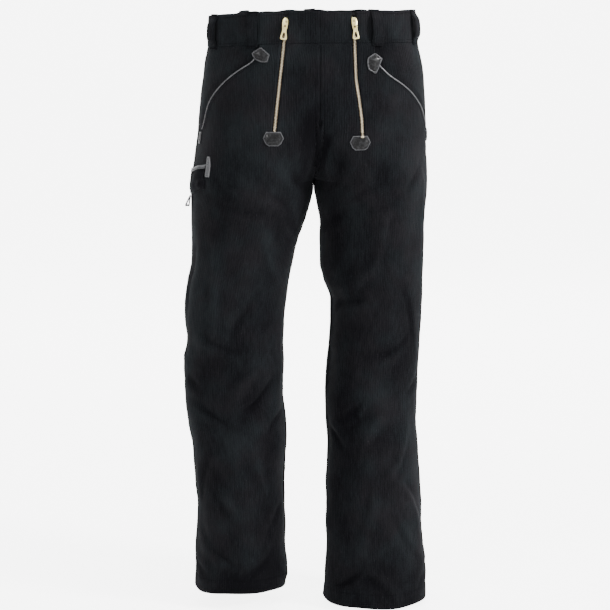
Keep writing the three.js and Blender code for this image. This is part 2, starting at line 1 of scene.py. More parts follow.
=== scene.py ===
import math
import bmesh
import bpy
import numpy as np
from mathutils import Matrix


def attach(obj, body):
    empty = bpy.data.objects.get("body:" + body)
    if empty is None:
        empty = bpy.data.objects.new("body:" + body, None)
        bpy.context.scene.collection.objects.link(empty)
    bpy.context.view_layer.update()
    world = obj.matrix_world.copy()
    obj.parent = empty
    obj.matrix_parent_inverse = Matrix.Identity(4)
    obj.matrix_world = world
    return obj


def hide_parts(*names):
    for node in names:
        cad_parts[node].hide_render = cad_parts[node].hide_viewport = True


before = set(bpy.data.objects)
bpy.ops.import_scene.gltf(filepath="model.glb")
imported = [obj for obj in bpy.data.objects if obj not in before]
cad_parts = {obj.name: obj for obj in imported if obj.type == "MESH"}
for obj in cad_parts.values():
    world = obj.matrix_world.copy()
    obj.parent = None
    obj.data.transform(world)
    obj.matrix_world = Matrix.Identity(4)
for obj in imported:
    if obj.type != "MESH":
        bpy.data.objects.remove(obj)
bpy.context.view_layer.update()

# ---------------------------------------------------------------- sizes, mm
MM = 0.001
FORK = -272.0
HEM = {-1: -1031.0, 1: -1053.0}
TAG = {-1: "right", 1: "left"}
CLOTH = 1.5
BAND_CLOTH = 2.6
SEAM_GAP = 0.3
SIDE_SEAM = 176.0
SLIT = 8.0
ZIP_END = -183.0
MOUTH_END = -190.0
TILT = 9.0
LEATHER = 1.4
# Rims of the waistband's face, and mean arc of one degree round.
BAND_TOP, BAND_FOOT = 27.5, -27.3
ARC = 1.75
# Stitches of seams, leather patches, the rule's pocket, belt loops and their bar tacks:
# pitch, length, radius.
STITCH, PATCH_STITCH, RULE_STITCH = (3.2, 2.7, 0.36), (2.6, 2.0, 0.32), (3.0, 2.4, 0.33)
LOOP_STITCH, BAR_TACK = (3.0, 2.5, 0.33), (1.6, 1.9, 0.4)
# Heights of the band's stitched lines, and of the hem's above its edge.
BAND_LINES, HEM_LINE = (23.0, -22.8), 26.0
# Belt loops: half the width, stitched lines off the middle, thickness.
LOOP_HALF, LOOP_LINE, LOOP_CLOTH = 10.0, 7.2, 2.0
# Zips: half the tape, its cloth, its depth under the surface, pitch of the teeth.
TAPE_HALF, TAPE_CLOTH, TAPE_DEPTH, TOOTH_PITCH = 12.0, 0.6, 2.9, 1.27

# Columns of a panel's grid between its edges.
FLY_COLUMNS, FRONT_COLUMNS, BACK_COLUMNS, FACING_COLUMNS = 22, 30, 56, 34
FLY_BAND_COLUMNS, LONG_BAND_COLUMNS = 12, 110

# Sections of the hips: height, share of the outer reach past the middle plane,
# outer reach right and left, front, back, squareness.
HIPS = [
    [27.5, 1, 188, 179, -97, 96, 0.07],
    [-27.5, 1, 190, 184, -99, 103, 0.07],
    [-60, 0.97, 196, 191, -102, 114, 0.07],
    [-95, 0.9, 200, 198, -104, 126, 0.07],
    [-130, 0.73, 203, 201, -105, 137, 0.07],
    [-165, 0.51, 206, 203, -106, 145, 0.06],
    [-200, 0.31, 210, 204.5, -106, 149, 0.06],
    [-225, 0.19, 213, 205.5, -105, 149.5, 0.05],
    [-247, 0.093, 216, 206, -104, 148.5, 0.05],
    [-260, 0.038, 218, 206, -103, 147, 0.05],
    [-268, 0.0105, 219, 206, -102.5, 145.5, 0.05],
    [FORK, -0.001, 219.5, 206, -102, 144.5, 0.05],
]
# Sections of the legs: height, inner reach, outer reach, front, back.
LEG = {
    -1: [
        [-290, 0.9, 221.5, -100, 140], [-311, 5.5, 222, -97, 134], [-347, 18, 222, -93, 126],
        [-384, 31, 221, -89, 117], [-420, 40, 223, -86, 109], [-457, 47, 230, -83, 102],
        [-494, 53, 234, -80, 96], [-531, 57, 235, -77, 91], [-568, 57, 235, -75, 87],
        [-606, 56, 237, -73, 84], [-643, 58, 237, -71, 82], [-681, 56, 235, -69, 82],
        [-719, 52, 230, -68, 83], [-757, 51, 224, -67, 84], [-795, 54, 222, -66, 85],
        [-833, 56, 219, -65, 86], [-871, 55, 216, -64, 87], [-910, 53, 218, -62, 88],
        [-948, 54, 220, -60, 89], [-987, 51, 220, -58, 91], [-1031, 54, 221, -56, 93],
    ],
    1: [
        [-290, 0.9, 205, -101, 140], [-311, 4.5, 203, -98, 134], [-347, 11, 200, -94, 126],
        [-384, 10, 198, -91, 118], [-420, 10, 197, -89, 111], [-457, 17, 197, -87, 104],
        [-494, 30, 196, -85, 98], [-531, 30, 195, -83, 92], [-568, 27, 194, -82, 87],
        [-606, 25, 192, -81, 84], [-643, 22, 190, -80, 81], [-681, 21, 190, -80, 79],
        [-719, 23, 189, -81, 77], [-757, 25, 191, -82, 75], [-795, 22, 194, -83, 74],
        [-833, 20, 196, -84, 73], [-871, 21, 197, -85, 72], [-910, 21, 198, -86, 71],
        [-948, 22, 201, -87, 70], [-987, 20, 206, -88, 70], [-1053, 16, 208, -90, 70],
    ],
}
# Broad folds: degrees round, height, lean from upright, half length, half width, depth.
FOLDS = {
    -1: [
        [70, -305, 62, 60, 17, 4], [92, -262, 56, 55, 15, -3.5], [150, -395, 4, 90, 20, 4],
        [172, -560, 80, 40, 17, -4], [120, -600, 70, 60, 20, -3], [60, -660, -48, 50, 16, -5],
        [100, -1005, 70, 60, 20, -3], [262, -330, 66, 70, 24, -7], [235, -372, 60, 60, 22, 5],
        [270, -575, 84, 80, 20, -6], [268, -640, 84, 70, 22, 4], [230, -930, 60, 60, 22, -4],
    ],
    1: [
        [66, -300, 60, 60, 17, 4], [95, -258, 54, 55, 15, -3.5], [150, -380, -8, 80, 20, 4.5],
        [30, -470, 70, 45, 18, -5], [100, -590, 72, 60, 20, -3], [66, -700, 50, 45, 16, -5],
        [140, -890, -35, 70, 20, 3.5], [60, -1010, 60, 45, 18, -4], [262, -325, 66, 70, 24, -7],
        [235, -368, 60, 60, 22, 5], [270, -590, 84, 80, 20, -6], [262, -660, 80, 70, 22, 4],
        [235, -960, 62, 60, 22, -4],
    ],
}
# Creases: degrees round, height, lean, half length, half width, depth, bow of the line.
CREASES = {
    -1: [
        [52, -222, 41, 42, 5, -9, 0], [58, -262, 50, 46, 5, -2.2, 5],
        [78, -292, 66, 60, 6, -1.4, -7],
        [104, -318, 74, 52, 6.5, -1, 6], [128, -268, 40, 44, 7, -1.6, 4],
        [44, -345, 58, 42, 7, -2, 5], [64, -398, 30, 60, 8, 1.8, 6],
        [118, -470, 6, 95, 8, 1.9, -5], [162, -455, -6, 70, 7, -1.8, 3],
        [88, -520, -30, 52, 8, -1.9, 5], [168, -585, 72, 34, 7, -2.4, 5],
        [152, -632, 78, 40, 8, -2.2, -6], [112, -560, 66, 46, 8.5, -2, 6],
        [62, -662, -50, 40, 5.5, -3, -6], [84, -640, -42, 44, 8, 2.2, 5],
        [42, -705, -60, 34, 7, -2.4, 4], [118, -690, 58, 50, 8.5, -1.7, -5],
        [70, -790, 24, 52, 9, 1.7, 4], [140, -800, -28, 60, 8.5, -1.9, 6],
        [104, -860, 36, 56, 9, 1.9, -5], [48, -900, -38, 44, 8.5, -2, 4],
        [126, -945, 54, 50, 8.5, -2.2, 5], [66, -978, -58, 42, 8, -2.3, -5],
        [154, -990, 66, 36, 8, -1.9, 4], [22, -1002, 64, 30, 8, 2, 4],
    ],
    1: [
        [54, -222, 41, 40, 5, -8, 0], [56, -258, 48, 46, 5, -2.2, 5],
        [74, -288, 64, 60, 6, -1.5, -7],
        [102, -312, 72, 52, 6.5, -1.1, 6], [130, -262, 38, 44, 7, -1.6, 4],
        [40, -340, 60, 42, 7, -2, 5], [148, -318, -4, 60, 7, 2.2, 4],
        [166, -352, -10, 62, 7, -1.9, -4], [92, -392, 12, 80, 8, 1.6, 5],
        [28, -436, 66, 34, 7, -2.6, 5], [46, -486, 76, 40, 7, -2.6, -6],
        [66, -452, 52, 44, 8.5, 2, 5], [130, -520, -18, 74, 8.5, -1.7, 6],
        [104, -575, 64, 46, 8, -2.1, 6], [150, -640, 70, 36, 8, -2.1, -5],
        [58, -692, 56, 34, 5.5, -3, 5], [82, -722, 42, 42, 8, 2.2, -5],
        [34, -742, -52, 32, 7, -2.3, 4], [118, -770, 30, 62, 9, 1.8, 5],
        [136, -862, -34, 56, 7, 2.3, 5], [122, -930, -36, 54, 7.5, -2.2, -5],
        [72, -880, 20, 60, 9, -1.7, 5], [56, -1002, 58, 34, 6, -2.8, 5],
        [88, -1012, -50, 38, 7.5, -2.1, 5], [158, -1000, 60, 34, 8, -1.8, -4],
    ],
}
# The same on the back of both legs: under the seat, behind the knee, at the heel.
BACK_CREASES = [
    [300, -262, -56, 48, 7, -2.6, 6], [284, -292, -66, 56, 7.5, -2.8, -6],
    [246, -318, 70, 52, 7.5, -2.6, 6], [214, -280, 46, 46, 8, -1.8, 5],
    [318, -318, -60, 36, 7, -2.2, 4], [262, -362, 78, 60, 8.5, 2.2, -6],
    [206, -402, 30, 58, 8, -1.8, 5], [292, -418, -40, 50, 8.5, -1.9, 5],
    [246, -470, 20, 66, 9, 1.7, 5], [316, -500, -62, 36, 7, -2.4, 4],
    [258, -548, 82, 62, 7, -3, 7], [222, -578, 70, 44, 7, -2.6, -6],
    [286, -600, -76, 50, 7, -3, 6], [250, -626, 80, 54, 8, 2.2, -5],
    [206, -640, 60, 36, 7.5, -2.2, 5], [308, -655, -58, 40, 7.5, -2.4, 5],
    [240, -706, 52, 50, 8.5, -1.9, 5], [286, -748, -34, 56, 9, 1.8, 5],
    [218, -800, 26, 56, 9, -1.8, -5], [262, -852, -18, 66, 9, 1.7, 5],
    [306, -880, -46, 40, 8.5, -2, 5], [244, -926, 60, 50, 8, -2.5, 6],
    [280, -962, -64, 50, 8, -2.5, -6], [214, -988, 58, 38, 8, -2, 5],
]
# Front pocket mouths: height, degrees round.
MOUTH = {
    -1: [
        [-20, 121.5], [-42, 121.5], [-56, 123], [-70, 131.5], [-85, 139], [-100, 145.5],
        [-115, 151], [-130, 155], [-145, 158], [-176, 161.5], [-190, 171],
    ],
    1: [
        [-20, 120.5], [-56, 119.5], [-65, 119.8], [-85, 126], [-100, 134.5], [-115, 142],
        [-130, 148.5], [-145, 154.5], [-162, 160], [-195, 172],
    ],
}
# Lines of the zips: height, distance from the middle plane.
ZIP = {
    -1: [[30, 58.5], [-20, 61], [-183, 80]],
    1: [[30, 59.5], [-20, 61], [-46, 61.5], [-90, 63], [-125, 68.5], [-159, 73], [-183, 73.5]],
}
# Leather patches: up from the centre, inner and outer edge. The zip's foot patch sits at a
# distance from the middle plane and a height, the others at degrees round and a height.
ZIP_FOOT = {-1: (81.4, -191.0), 1: (70.0, -199.0)}
ZIP_PATCH = [[12.5, -13, 13], [1, -18.5, 18.5], [-9, -13.5, 13.5], [-13, -8, 8]]
POCKET_PATCH = {
    -1: (119.8, -44.5, [[12, 0, 4], [3, -11, 17], [-1, -16, 15], [-9, -15, 8], [-14, -14, -4]]),
    1: (118, -62, [[17, 3, 6], [10, -10, 14], [7, -12, 17], [0, -14, 12], [-11, -14, 5],
                   [-18, -4, -1]]),
}
END_ROWS = [[11, -6.5, 6.5], [0, -8, 8.5], [-11, -6.5, 7]]
END_PATCH = {-1: (165.5, -195, END_ROWS), 1: (172, -193, END_ROWS)}
STRIP_PATCH = (145, -243.4, [[18, -4, 2.4], [15.5, -5.6, 3], [2, -10.6, 0.6], [-18, -14, -2]])
# Belt loops: height, share of the clear height under the strap.
LOOP_RUN = [
    [29, 0], [23, 0], [18, 0.4], [13, 0.9], [4, 1], [-6, 1], [-15, 0.9], [-21, 0.4], [-26, 0],
    [-32, 0],
]
LOOPS = [
    (-1, 125.7, 8.0, "belt_loop_front_right"), (1, 122.0, 8.0, "belt_loop_front_left"),
    (-1, 160.0, 8.0, "belt_loop_side_right"), (1, 160.0, 8.0, "belt_loop_side_left"),
    (-1, 232.0, 9.6, "belt_loop_back_right"), (1, 232.0, 9.6, "belt_loop_back_left"),
    (1, 270.0, 8.0, "belt_loop_center_back"),
]


# Picture, in m: lens in mm, eye, aim, and lights with place, target, size and power in W.
LENS, SENSOR = 106.9, 36.0
EYE, AIM = (-0.3003, -3.2376, 0.060), (-0.017, 0.0, -0.502)
FLOOR, WALL_TOP, WALL_BEND = -1.0615, 4.0, 1.6
MIDDLE = (0.0, 0.0, -0.5)
LAMPS = [
    ("front_light_right", (-2.6, -2.6, 1.5), MIDDLE, 1.0, 62.0),
    ("front_light_left", (3.6, -2.0, 1.6), MIDDLE, 0.8, 300.0),
    ("top_light", (0.3, -0.8, 3.2), MIDDLE, 1.4, 80.0),
    ("rear_light", (0.8, 3.4, 1.6), MIDDLE, 1.4, 90.0),
    ("back_light_right", (-2.6, 2.2, 2.6), (-0.6, 5.6, 0.2), 2.4, 170.0),
    ("back_light_left", (2.6, 2.2, 2.6), (0.6, 5.6, 0.2), 2.4, 170.0),
]
WHITE = (1.0, 1.0, 1.0, 1.0)
# Strength of the surround, and what is added for the camera's and for mirrored rays.
SURROUND, SEEN_SURROUND, MIRRORED = 0.24, 5.0, 1.1


# ---------------------------------------------------------------- camera, light, floor
def linked(name, data):
    """Object of some data, put into the scene."""
    obj = bpy.data.objects.new(name, data)
    bpy.context.scene.collection.objects.link(obj)
    return obj


def look_at(obj, target):
    """Turns an object so its -Z points at the target and its Y stays up."""
    direction = np.array(target) - np.array(obj.location)
    flat = math.hypot(direction[0], direction[1])
    obj.rotation_euler = (
        math.atan2(flat, -direction[2]), 0.0, math.atan2(-direction[0], direction[1]),
    )


def camera():
    """Long lens in front of the garment, a little to its right and above."""
    data = bpy.data.cameras.new("camera")
    data.lens = LENS
    data.sensor_width = SENSOR
    obj = linked("camera", data)
    obj.location = EYE
    look_at(obj, AIM)
    bpy.context.scene.camera = obj


def lamp(name, place, target, size, power):
    """Square soft light aimed at a point."""
    data = bpy.data.lights.new(name, "AREA")
    data.shape = "SQUARE"
    data.size = size
    data.energy = power
    obj = linked(name, data)
    obj.location = place
    look_at(obj, target)


def studio():
    """White surround and the lights. The surround is weak, but strong to the camera's rays."""
    world = bpy.data.worlds.new("surround")
    world.use_nodes = True
    w = Wiring(world.node_tree)
    sky = world.node_tree.nodes["Background"]
    sky.inputs["Color"].default_value = WHITE
    ray = world.node_tree.nodes.new("ShaderNodeLightPath")
    strength = w.math("MULTIPLY_ADD", ray.outputs["Is Camera Ray"], SEEN_SURROUND, SURROUND)
    strength = w.math("MULTIPLY_ADD", ray.outputs["Is Glossy Ray"], MIRRORED, strength)
    w.put(sky.inputs["Strength"], strength)
    bpy.context.scene.world = world
    for row in LAMPS:
        lamp(*row)


def floor():
    """Floor grid whose far edge rises in a quarter circle to an upright wall."""
    run = np.concatenate([np.linspace(-4.5, 4.0, 24), np.full(10, 4.0)])
    angle = np.concatenate([np.zeros(24), np.linspace(0.1, 1.0, 10) * math.pi / 2])
    y = run + WALL_BEND * np.sin(angle)
    y = np.append(y, y[-1])
    z = np.append(FLOOR + WALL_BEND * (1 - np.cos(angle)), WALL_TOP)
    x = np.linspace(-5.0, 5.0, 12)
    points = np.stack(np.broadcast_arrays(x[None, :], y[:, None], z[:, None]), -1) / MM
    make("floor", points, [grid_faces(len(y), len(x))], paper())


# ---------------------------------------------------------------- surface of the garment
def unit(vectors):
    """Vectors divided by their own length."""
    return vectors / np.linalg.norm(vectors, axis=-1, keepdims=True)


def arc_of(points):
    """Sum of the gaps between points, from the first point of each row to every other."""
    gap = np.linalg.norm(np.diff(points, axis=-2), axis=-1)
    return np.concatenate([np.zeros(gap.shape[:-1] + (1,)), np.cumsum(gap, axis=-1)], axis=-1)


def at_run(s, arc, source):
    """Rows of a source read off straight between its own, at distances s along an arc."""
    return np.stack([np.interp(s, arc, source[:, k]) for k in range(3)], -1)


def evened(values, reach):
    """Mean of each value with those up to a reach beside it."""
    wide = 2 * reach + 1
    return np.convolve(np.pad(values, reach, mode="edge"), np.ones(wide) / wide, mode="valid")


def smooth_rows(table, z):
    """Cubic through the rows, its slope at a row the harmonic mean of the two beside it."""
    rows = np.array(table, float)[::-1]
    at, value = rows[:, 0], rows[:, 1:]
    span = np.diff(at)
    rate = np.diff(value, axis=0) / span[:, None]
    same = rate[:-1] * rate[1:] > 0
    total = np.where(same, rate[:-1] + rate[1:], 1.0)
    slope = np.concatenate([
        rate[:1], np.where(same, 2 * rate[:-1] * rate[1:] / total, 0.0), rate[-1:],
    ])
    k = np.clip(np.searchsorted(at, z, side="right") - 1, 0, len(at) - 2)
    h = span[k][..., None]
    t = ((z - at[k]) / span[k])[..., None]
    return (
        (2 * t**3 - 3 * t**2 + 1) * value[k] + (t**3 - 2 * t**2 + t) * h * slope[k]
        + (3 * t**2 - 2 * t**3) * value[k + 1] + (t**3 - t**2) * h * slope[k + 1]
    )


def sections(side):
    """Hip and leg rows of one side as one table: height, inner, outer, front, back, square."""
    outer = 2 if side < 0 else 3
    hips = [[r[0], -r[1] * r[outer], r[outer], r[4], r[5], r[6]] for r in HIPS]
    return hips + [row + [0.05] for row in LEG[side]]


SECTIONS = {side: sections(side) for side in (-1, 1)}


def along(table, z):
    """Straight run between the rows of a two-column table."""
    rows = np.array(table, float)[::-1]
    return np.interp(z, rows[:, 0], rows[:, 1])


def step(a, b, x):
    """Smooth rise from 0 at a to 1 at b."""
    t = np.clip((x - a) / (b - a), 0.0, 1.0)
    return t * t * (3 - 2 * t)


def turned(deg, z, at, level, lean):
    """Distance along and across a fold's line, in mm, from its centre."""
    turn = deg - at
    turn = turn - 360 * np.round(turn / 360)
    u, v = turn * ARC, z - level
    s, c = math.sin(math.radians(lean)), math.cos(math.radians(lean))
    return u * s + v * c, u * c - v * s


def broad_folds(side, deg, z):
    """Sum of bells, each long along its line and narrow across it."""
    out = np.zeros(np.broadcast(deg, z).shape)
    for at, level, lean, length, width, depth in FOLDS[side]:
        run, off = turned(deg, z, at, level, lean)
        out += depth * np.exp(-((run / length) ** 2) - (off / width) ** 2)
    return out


def crease(deg, z, row):
    """Bent trough or ridge: a bell across, a lower bell of the other sign beside it,
    its height wavering along the run and dying out at both ends."""
    at, level, lean, length, width, depth, bow = row
    run, off = turned(deg, z, at, level, lean)
    t = run / length
    off = off + bow * t * t + 1.3 * np.sin(run / 17.0 + at)
    ends = np.clip(1 - (t / 1.5) ** 2, 0, 1) ** 2
    waver = 1 + 0.28 * np.sin(run / 13.0 + level)
    wide = width * (1 + 0.25 * np.sin(run / 29.0 + at))
    across = np.exp(-((off / wide) ** 2)) - 0.42 * np.exp(-(((off - 2.0 * wide) / wide) ** 2))
    return 1.35 * depth * across * ends * waver


def unevenness(side, deg, z):
    """Low sines crossing at slants, a fraction of a millimetre each, no two alike."""
    u = deg * ARC
    a = np.sin(u / 19.0 + z / 47.0 + side) * np.sin(z / 31.0 - u / 63.0)
    b = np.sin(u / 11.0 - z / 23.0 + 2 * side) * np.sin(z / 15.0 + u / 27.0 + 1.3)
    c = np.sin(u / 37.0 + z / 83.0 - side)
    return 1.1 * a + 0.5 * b + 0.9 * c


def fine_folds(side, deg, z):
    """Sum of the creases of one side, front and back, and the unevenness."""
    out = unevenness(side, deg, z)
    for row in CREASES[side]:
        out += crease(deg, z, row)
    for row in BACK_CREASES:
        shift = 9 if side > 0 else 0
        own = [row[0] + 0.5 * shift, row[1] + 1.3 * shift] + row[2:]
        out += crease(deg, z, own)
    return out


def skin(side, deg, z):
    """Squarish oval at each height, pushed out by the folds square to the oval."""
    deg, z = np.broadcast_arrays(np.asarray(deg, float), np.asarray(z, float))
    inner, outer, front, back, square = np.moveaxis(smooth_rows(SECTIONS[side], z), -1, 0)
    mid, wide = (inner + outer) / 2, (outer - inner) / 2
    centre, deep = (front + back) / 2, (back - front) / 2
    c, s = np.cos(np.radians(deg)), np.sin(np.radians(deg))
    x0 = mid - wide * c * (1 + square * s * s)
    y0 = centre - deep * s * (1 + square * c * c)
    calm = step(0, 40, x0 + np.maximum(0, FORK - z))
    still = step(0, 40, x0 + 0.5 * np.maximum(0, FORK - z))
    free = (0.25 + 0.75 * step(-24, -46, z)) * still
    out = broad_folds(side, deg, z) * calm + fine_folds(side, deg, z) * free
    n = np.hypot(c / wide, s / deep)
    x = x0 - (c / wide / n) * out
    y = y0 - (s / deep / n) * out
    lean = np.clip(x / 190, 0, 1.2) ** 2 if side < 0 else 0.0
    drop = TILT * lean * np.clip((z + 200) / 170, 0, 1)
    rim = np.sin(x / 13.0 + side) + 0.7 * np.sin(x / 5.9 + 2 * side + y / 31.0)
    turn = np.radians(deg)
    foot = np.sin(2 * turn + side) + 0.6 * np.sin(5 * turn + 2 * side)
    wave = 0.9 * rim * step(8, 27, z) + 1.6 * foot * step(HEM[side] + 60, HEM[side], z)
    return np.stack([side * x, y, z - drop + wave], -1)


def outward(side, deg, z):
    """Unit cross product of the two slopes of the surface."""
    deg, z = np.asarray(deg, float), np.asarray(z, float)
    a = skin(side, deg + 0.5, z) - skin(side, deg - 0.5, z)
    b = skin(side, deg, z + 1) - skin(side, deg, z - 1)
    return unit(np.cross(b, a) * -side)


def lifted(side, deg, z, lift):
    """Point of the surface moved out along its normal."""
    lift = np.asarray(lift, float)
    return skin(side, deg, z) + outward(side, deg, z) * lift[..., None]


def per_degree(side, deg, z):
    """Arc in mm of one degree round."""
    gap = skin(side, np.asarray(deg) + 0.5, z) - skin(side, np.asarray(deg) - 0.5, z)
    return np.linalg.norm(gap, axis=-1)


def degrees_at(side, reach, z, low=0.0, high=178.0):
    """Degrees round on the front at a distance from the middle plane, by halving."""
    z, reach = np.broadcast_arrays(np.asarray(z, float), np.asarray(reach, float))
    a, b = np.full(z.shape, low), np.full(z.shape, high)
    for _ in range(26):
        m = (a + b) / 2
        short = skin(side, m, z)[..., 0] * side < reach
        a, b = np.where(short, m, a), np.where(short, b, m)
    return (a + b) / 2


def middle_reach(z):
    """Half the seam's gap, turned into a slight overlap towards the fork."""
    return SEAM_GAP / 2 - 0.4 * step(60, 30, np.asarray(z, float) - FORK)


def front_inner(side, z):
    """Middle plane above the fork, just past it close to the fork, inseam below it."""
    above = degrees_at(side, middle_reach(z), z, 0.0, 92.0)
    below = 7 * step(0, 60, FORK - z) + SEAM_GAP / 2 / per_degree(side, 1.0, z)
    return np.where(z > FORK, above, below)


def back_inner(side, z):
    """The same edge on the back panel, counted past 270."""
    above = 360 - degrees_at(side, middle_reach(z), z, 0.0, 92.0)
    below = 360 + front_inner(side, z) - SEAM_GAP / per_degree(side, 1.0, z)
    return np.where(z > FORK, above, below)


# ---------------------------------------------------------------- meshes
def grid_faces(rows, cols, flip=False, keep=None, around=False):
    """Quads of a grid of points, the last column joined to the first if it goes round."""
    i = np.arange(rows - 1)[:, None]
    j = np.arange(cols if around else cols - 1)[None, :]
    k = (j + 1) % cols
    quad = np.stack(np.broadcast_arrays(
        i * cols + j, (i + 1) * cols + j, (i + 1) * cols + k, i * cols + k), -1)
    if keep is not None:
        quad = quad[keep]
    quad = quad.reshape(-1, 4)
    return quad[:, ::-1] if flip else quad


def make(name, points, faces, material, uv=None, light_and_shade=None):
    """Mesh object from points in mm and a list of face arrays, smooth all over, with painted
    light and shade as a value on each point where that is given."""
    loops = np.concatenate([f.ravel() for f in faces]).astype(np.int32)
    counts = np.concatenate([np.full(len(f), f.shape[1]) for f in faces])
    starts = np.concatenate([[0], np.cumsum(counts)[:-1]]).astype(np.int32)
    mesh = bpy.data.meshes.new(name)
    points = np.asarray(points, float).reshape(-1, 3)
    mesh.vertices.add(len(points))
    mesh.vertices.foreach_set("co", (points * MM).astype(np.float32).ravel())
    mesh.loops.add(len(loops))
    mesh.loops.foreach_set("vertex_index", loops)
    mesh.polygons.add(len(starts))
    mesh.polygons.foreach_set("loop_start", starts)
    if uv is not None:
        layer = mesh.uv_layers.new(name="cloth")
        spread = uv.reshape(-1, 2)[loops] * MM
        layer.data.foreach_set("uv", spread.astype(np.float32).ravel())
    # A value on each point: painted light and shade that the material reads into its colour.
    if light_and_shade is not None:
        value = mesh.attributes.new("light_and_shade", "FLOAT", "POINT")
        value.data.foreach_set("value", light_and_shade.astype(np.float32).ravel())
    mesh.update(calc_edges=True)
    mesh.shade_smooth()
    mesh.materials.append(material)
    return linked(name, mesh)


def arc_uv(points, key, z, centre):
    """Across: arc from the grain line, where the key value reaches the centre. Along: height."""
    gap = np.linalg.norm(np.diff(points, axis=1), axis=-1)
    arc = arc_of(points)
    rows = np.arange(len(points))
    centre = np.broadcast_to(centre, rows.shape)
    order = np.abs(key - centre[:, None]).argmin(axis=1)
    slope = gap[rows, np.minimum(order, gap.shape[1] - 1)]
    run = np.gradient(key, axis=1)[rows, order]
    zero = arc[rows, order] + (centre - key[rows, order]) / run * slope
    return np.stack([arc - zero[:, None], np.broadcast_to(z, arc.shape)], -1)


def grain_line(side, z):
    """Distance of the grain line from the middle plane: down the middle of the leg."""
    rows = smooth_rows(SECTIONS[side], np.minimum(z, -290.0))
    return (rows[..., 0] + rows[..., 1]) / 2


def thick(obj, depth):
    """Gives a sheet its thickness inwards, with its rim closed."""
    mod = obj.modifiers.new("thickness", "SOLIDIFY")
    mod.thickness = depth * MM
    mod.offset = -1.0
    mod.use_quality_normals = True
    return obj


def painted_shading(side, deg, z, points):
    """Painted light and shade: lighter on the ridges of the folds and darker in their troughs,
    darker in the furrow of the crotch, on the inner side of the legs, at the hems and over
    the lower fly, lighter on the hips."""
    # Painted light on the ridges of the folds and painted shade in their troughs.
    fold_shading = broad_folds(side, deg, z) * 0.5 + fine_folds(side, deg, z)
    # Painted shade in the furrow of the crotch.
    off = (points[..., 0] + 16.0) / 14.0
    crotch_shade = np.exp(-(off**2)) * step(-125, -205, z) * step(-390, -300, z)
    turn = np.abs((deg + 180) % 360 - 180)
    # Painted shade on the inner side of the legs.
    inner = step(80, 15, turn) * step(-270, -350, z) * (2.6 if side > 0 else 1.4)
    # Painted shade at the hems, and on the right leg from below the knee.
    hem = 2.4 * step(-930, -1040, z)
    if side < 0:
        hem = hem + 0.8 * step(-640, -760, z)
    # Painted shade over the lower fly.
    fly = 1.8 * step(-215, -150, z) * step(70, 40, np.abs(points[..., 0])) * (points[..., 1] < 0)
    # Painted light on the hips, on the right side further down the thigh.
    hips = 1.3 * step(-215, -120, z) * step(40, 75, turn)
    if side < 0:
        hips = 3.6 * step(-420, -230, z) * step(70, 110, turn)
    return fold_shading - 11.5 * crotch_shade - inner - hem - fly + hips


def cloth_piece(name, side, deg, z, lift, material, depth, centre=None, keep=None):
    """Grid of the surface lifted by its seams, as a thin sheet with grain-line UVs."""
    z = np.broadcast_to(z, deg.shape)
    points = lifted(side, deg, z, lift)
    if centre is None:
        uv = arc_uv(points, points[..., 0] * side, z, grain_line(side, z[:, 0]))
    else:
        uv = arc_uv(points, deg, z, centre)
    faces = grid_faces(*deg.shape, flip=side < 0, keep=keep)
    return thick(make(name, points, [faces], material, uv, painted_shading(side, deg, z, points)), depth)


def tube_faces(rows, cols, count=1):
    """Faces of closed tubes: grids that go round, each with its first and last row filled."""
    start = (np.arange(count) * rows * cols)[:, None, None]
    body = (grid_faces(rows, cols, around=True)[None] + start).reshape(-1, 4)
    first = np.arange(cols)[None, :] + start[:, 0]
    last = (rows - 1) * cols + np.arange(cols)[None, ::-1] + start[:, 0]
    return [body, first, last]


def sweep(path, up, profile):
    """Profile of (across, out) points carried along a path, flat ends closed."""
    across = unit(np.cross(unit(np.gradient(path, axis=0)), up))
    points = path[:, None] + across[:, None] * profile[:, :1] + up[:, None] * profile[:, 1:]
    return points.reshape(-1, 3), tube_faces(len(path), len(profile))


def round_profile(width, height, power):
    """Closed oval, squarer with a higher power, standing on its base."""
    t = np.linspace(0, 2 * math.pi, 12, endpoint=False)
    c, s = np.cos(t), np.sin(t)
    a = np.sign(c) * np.abs(c) ** (2 / power) * width / 2
    b = np.sign(s) * np.abs(s) ** (2 / power) * height / 2
    return np.stack([a, b + height / 2], -1)


def merged(parts):
    """Several (points, faces) lists as one."""
    points, faces, start = [], [], 0
    for co, fs in parts:
        points.append(co)
        faces.extend(f + start for f in fs)
        start += len(co)
    return np.concatenate(points), faces


# Stitch: places along it, thickness and height of each, as shares of its length and radius.
RUN = np.array([-0.5, -0.34, 0.0, 0.34, 0.5])
FAT = np.array([0.25, 0.85, 1.0, 0.85, 0.25])
SINK = np.array([-1.5, -0.5, 0.0, -0.5, -1.5])
ROUND = 6


def stitches(path, up, pitch, length, radius):
    """Short spindles laid along a path at an even pitch, pressed down at both ends."""
    arc = arc_of(path)
    count = max(1, int(arc[-1] / pitch))
    at = (np.arange(count) + 0.5) * arc[-1] / count
    centre, normal = at_run(at, arc, path), at_run(at, arc, up)
    ahead = unit(at_run(at + 0.4, arc, path) - at_run(at - 0.4, arc, path))
    normal = unit(normal - (normal * ahead).sum(1, keepdims=True) * ahead)
    across = np.cross(ahead, normal)
    ring = np.linspace(0, 2 * math.pi, ROUND, endpoint=False)
    fat, sink = np.repeat(FAT, ROUND), np.repeat(SINK, ROUND)
    x = np.repeat(RUN, ROUND) * length
    y = fat * np.tile(np.cos(ring), len(RUN)) * radius
    z = (fat * np.tile(np.sin(ring), len(RUN)) + sink) * radius
    points = (
        centre[:, None] + ahead[:, None] * x[:, None] + across[:, None] * y[:, None]
        + normal[:, None] * z[:, None]
    )
    return points.reshape(-1, 3), tube_faces(len(RUN), ROUND, count)


def seam_path(side, deg, z, lift):
    """Points and normals of a line on the cloth."""
    deg, z = np.broadcast_arrays(np.asarray(deg, float), np.asarray(z, float))
    return lifted(side, deg, z, np.full(deg.shape, lift)), outward(side, deg, z)


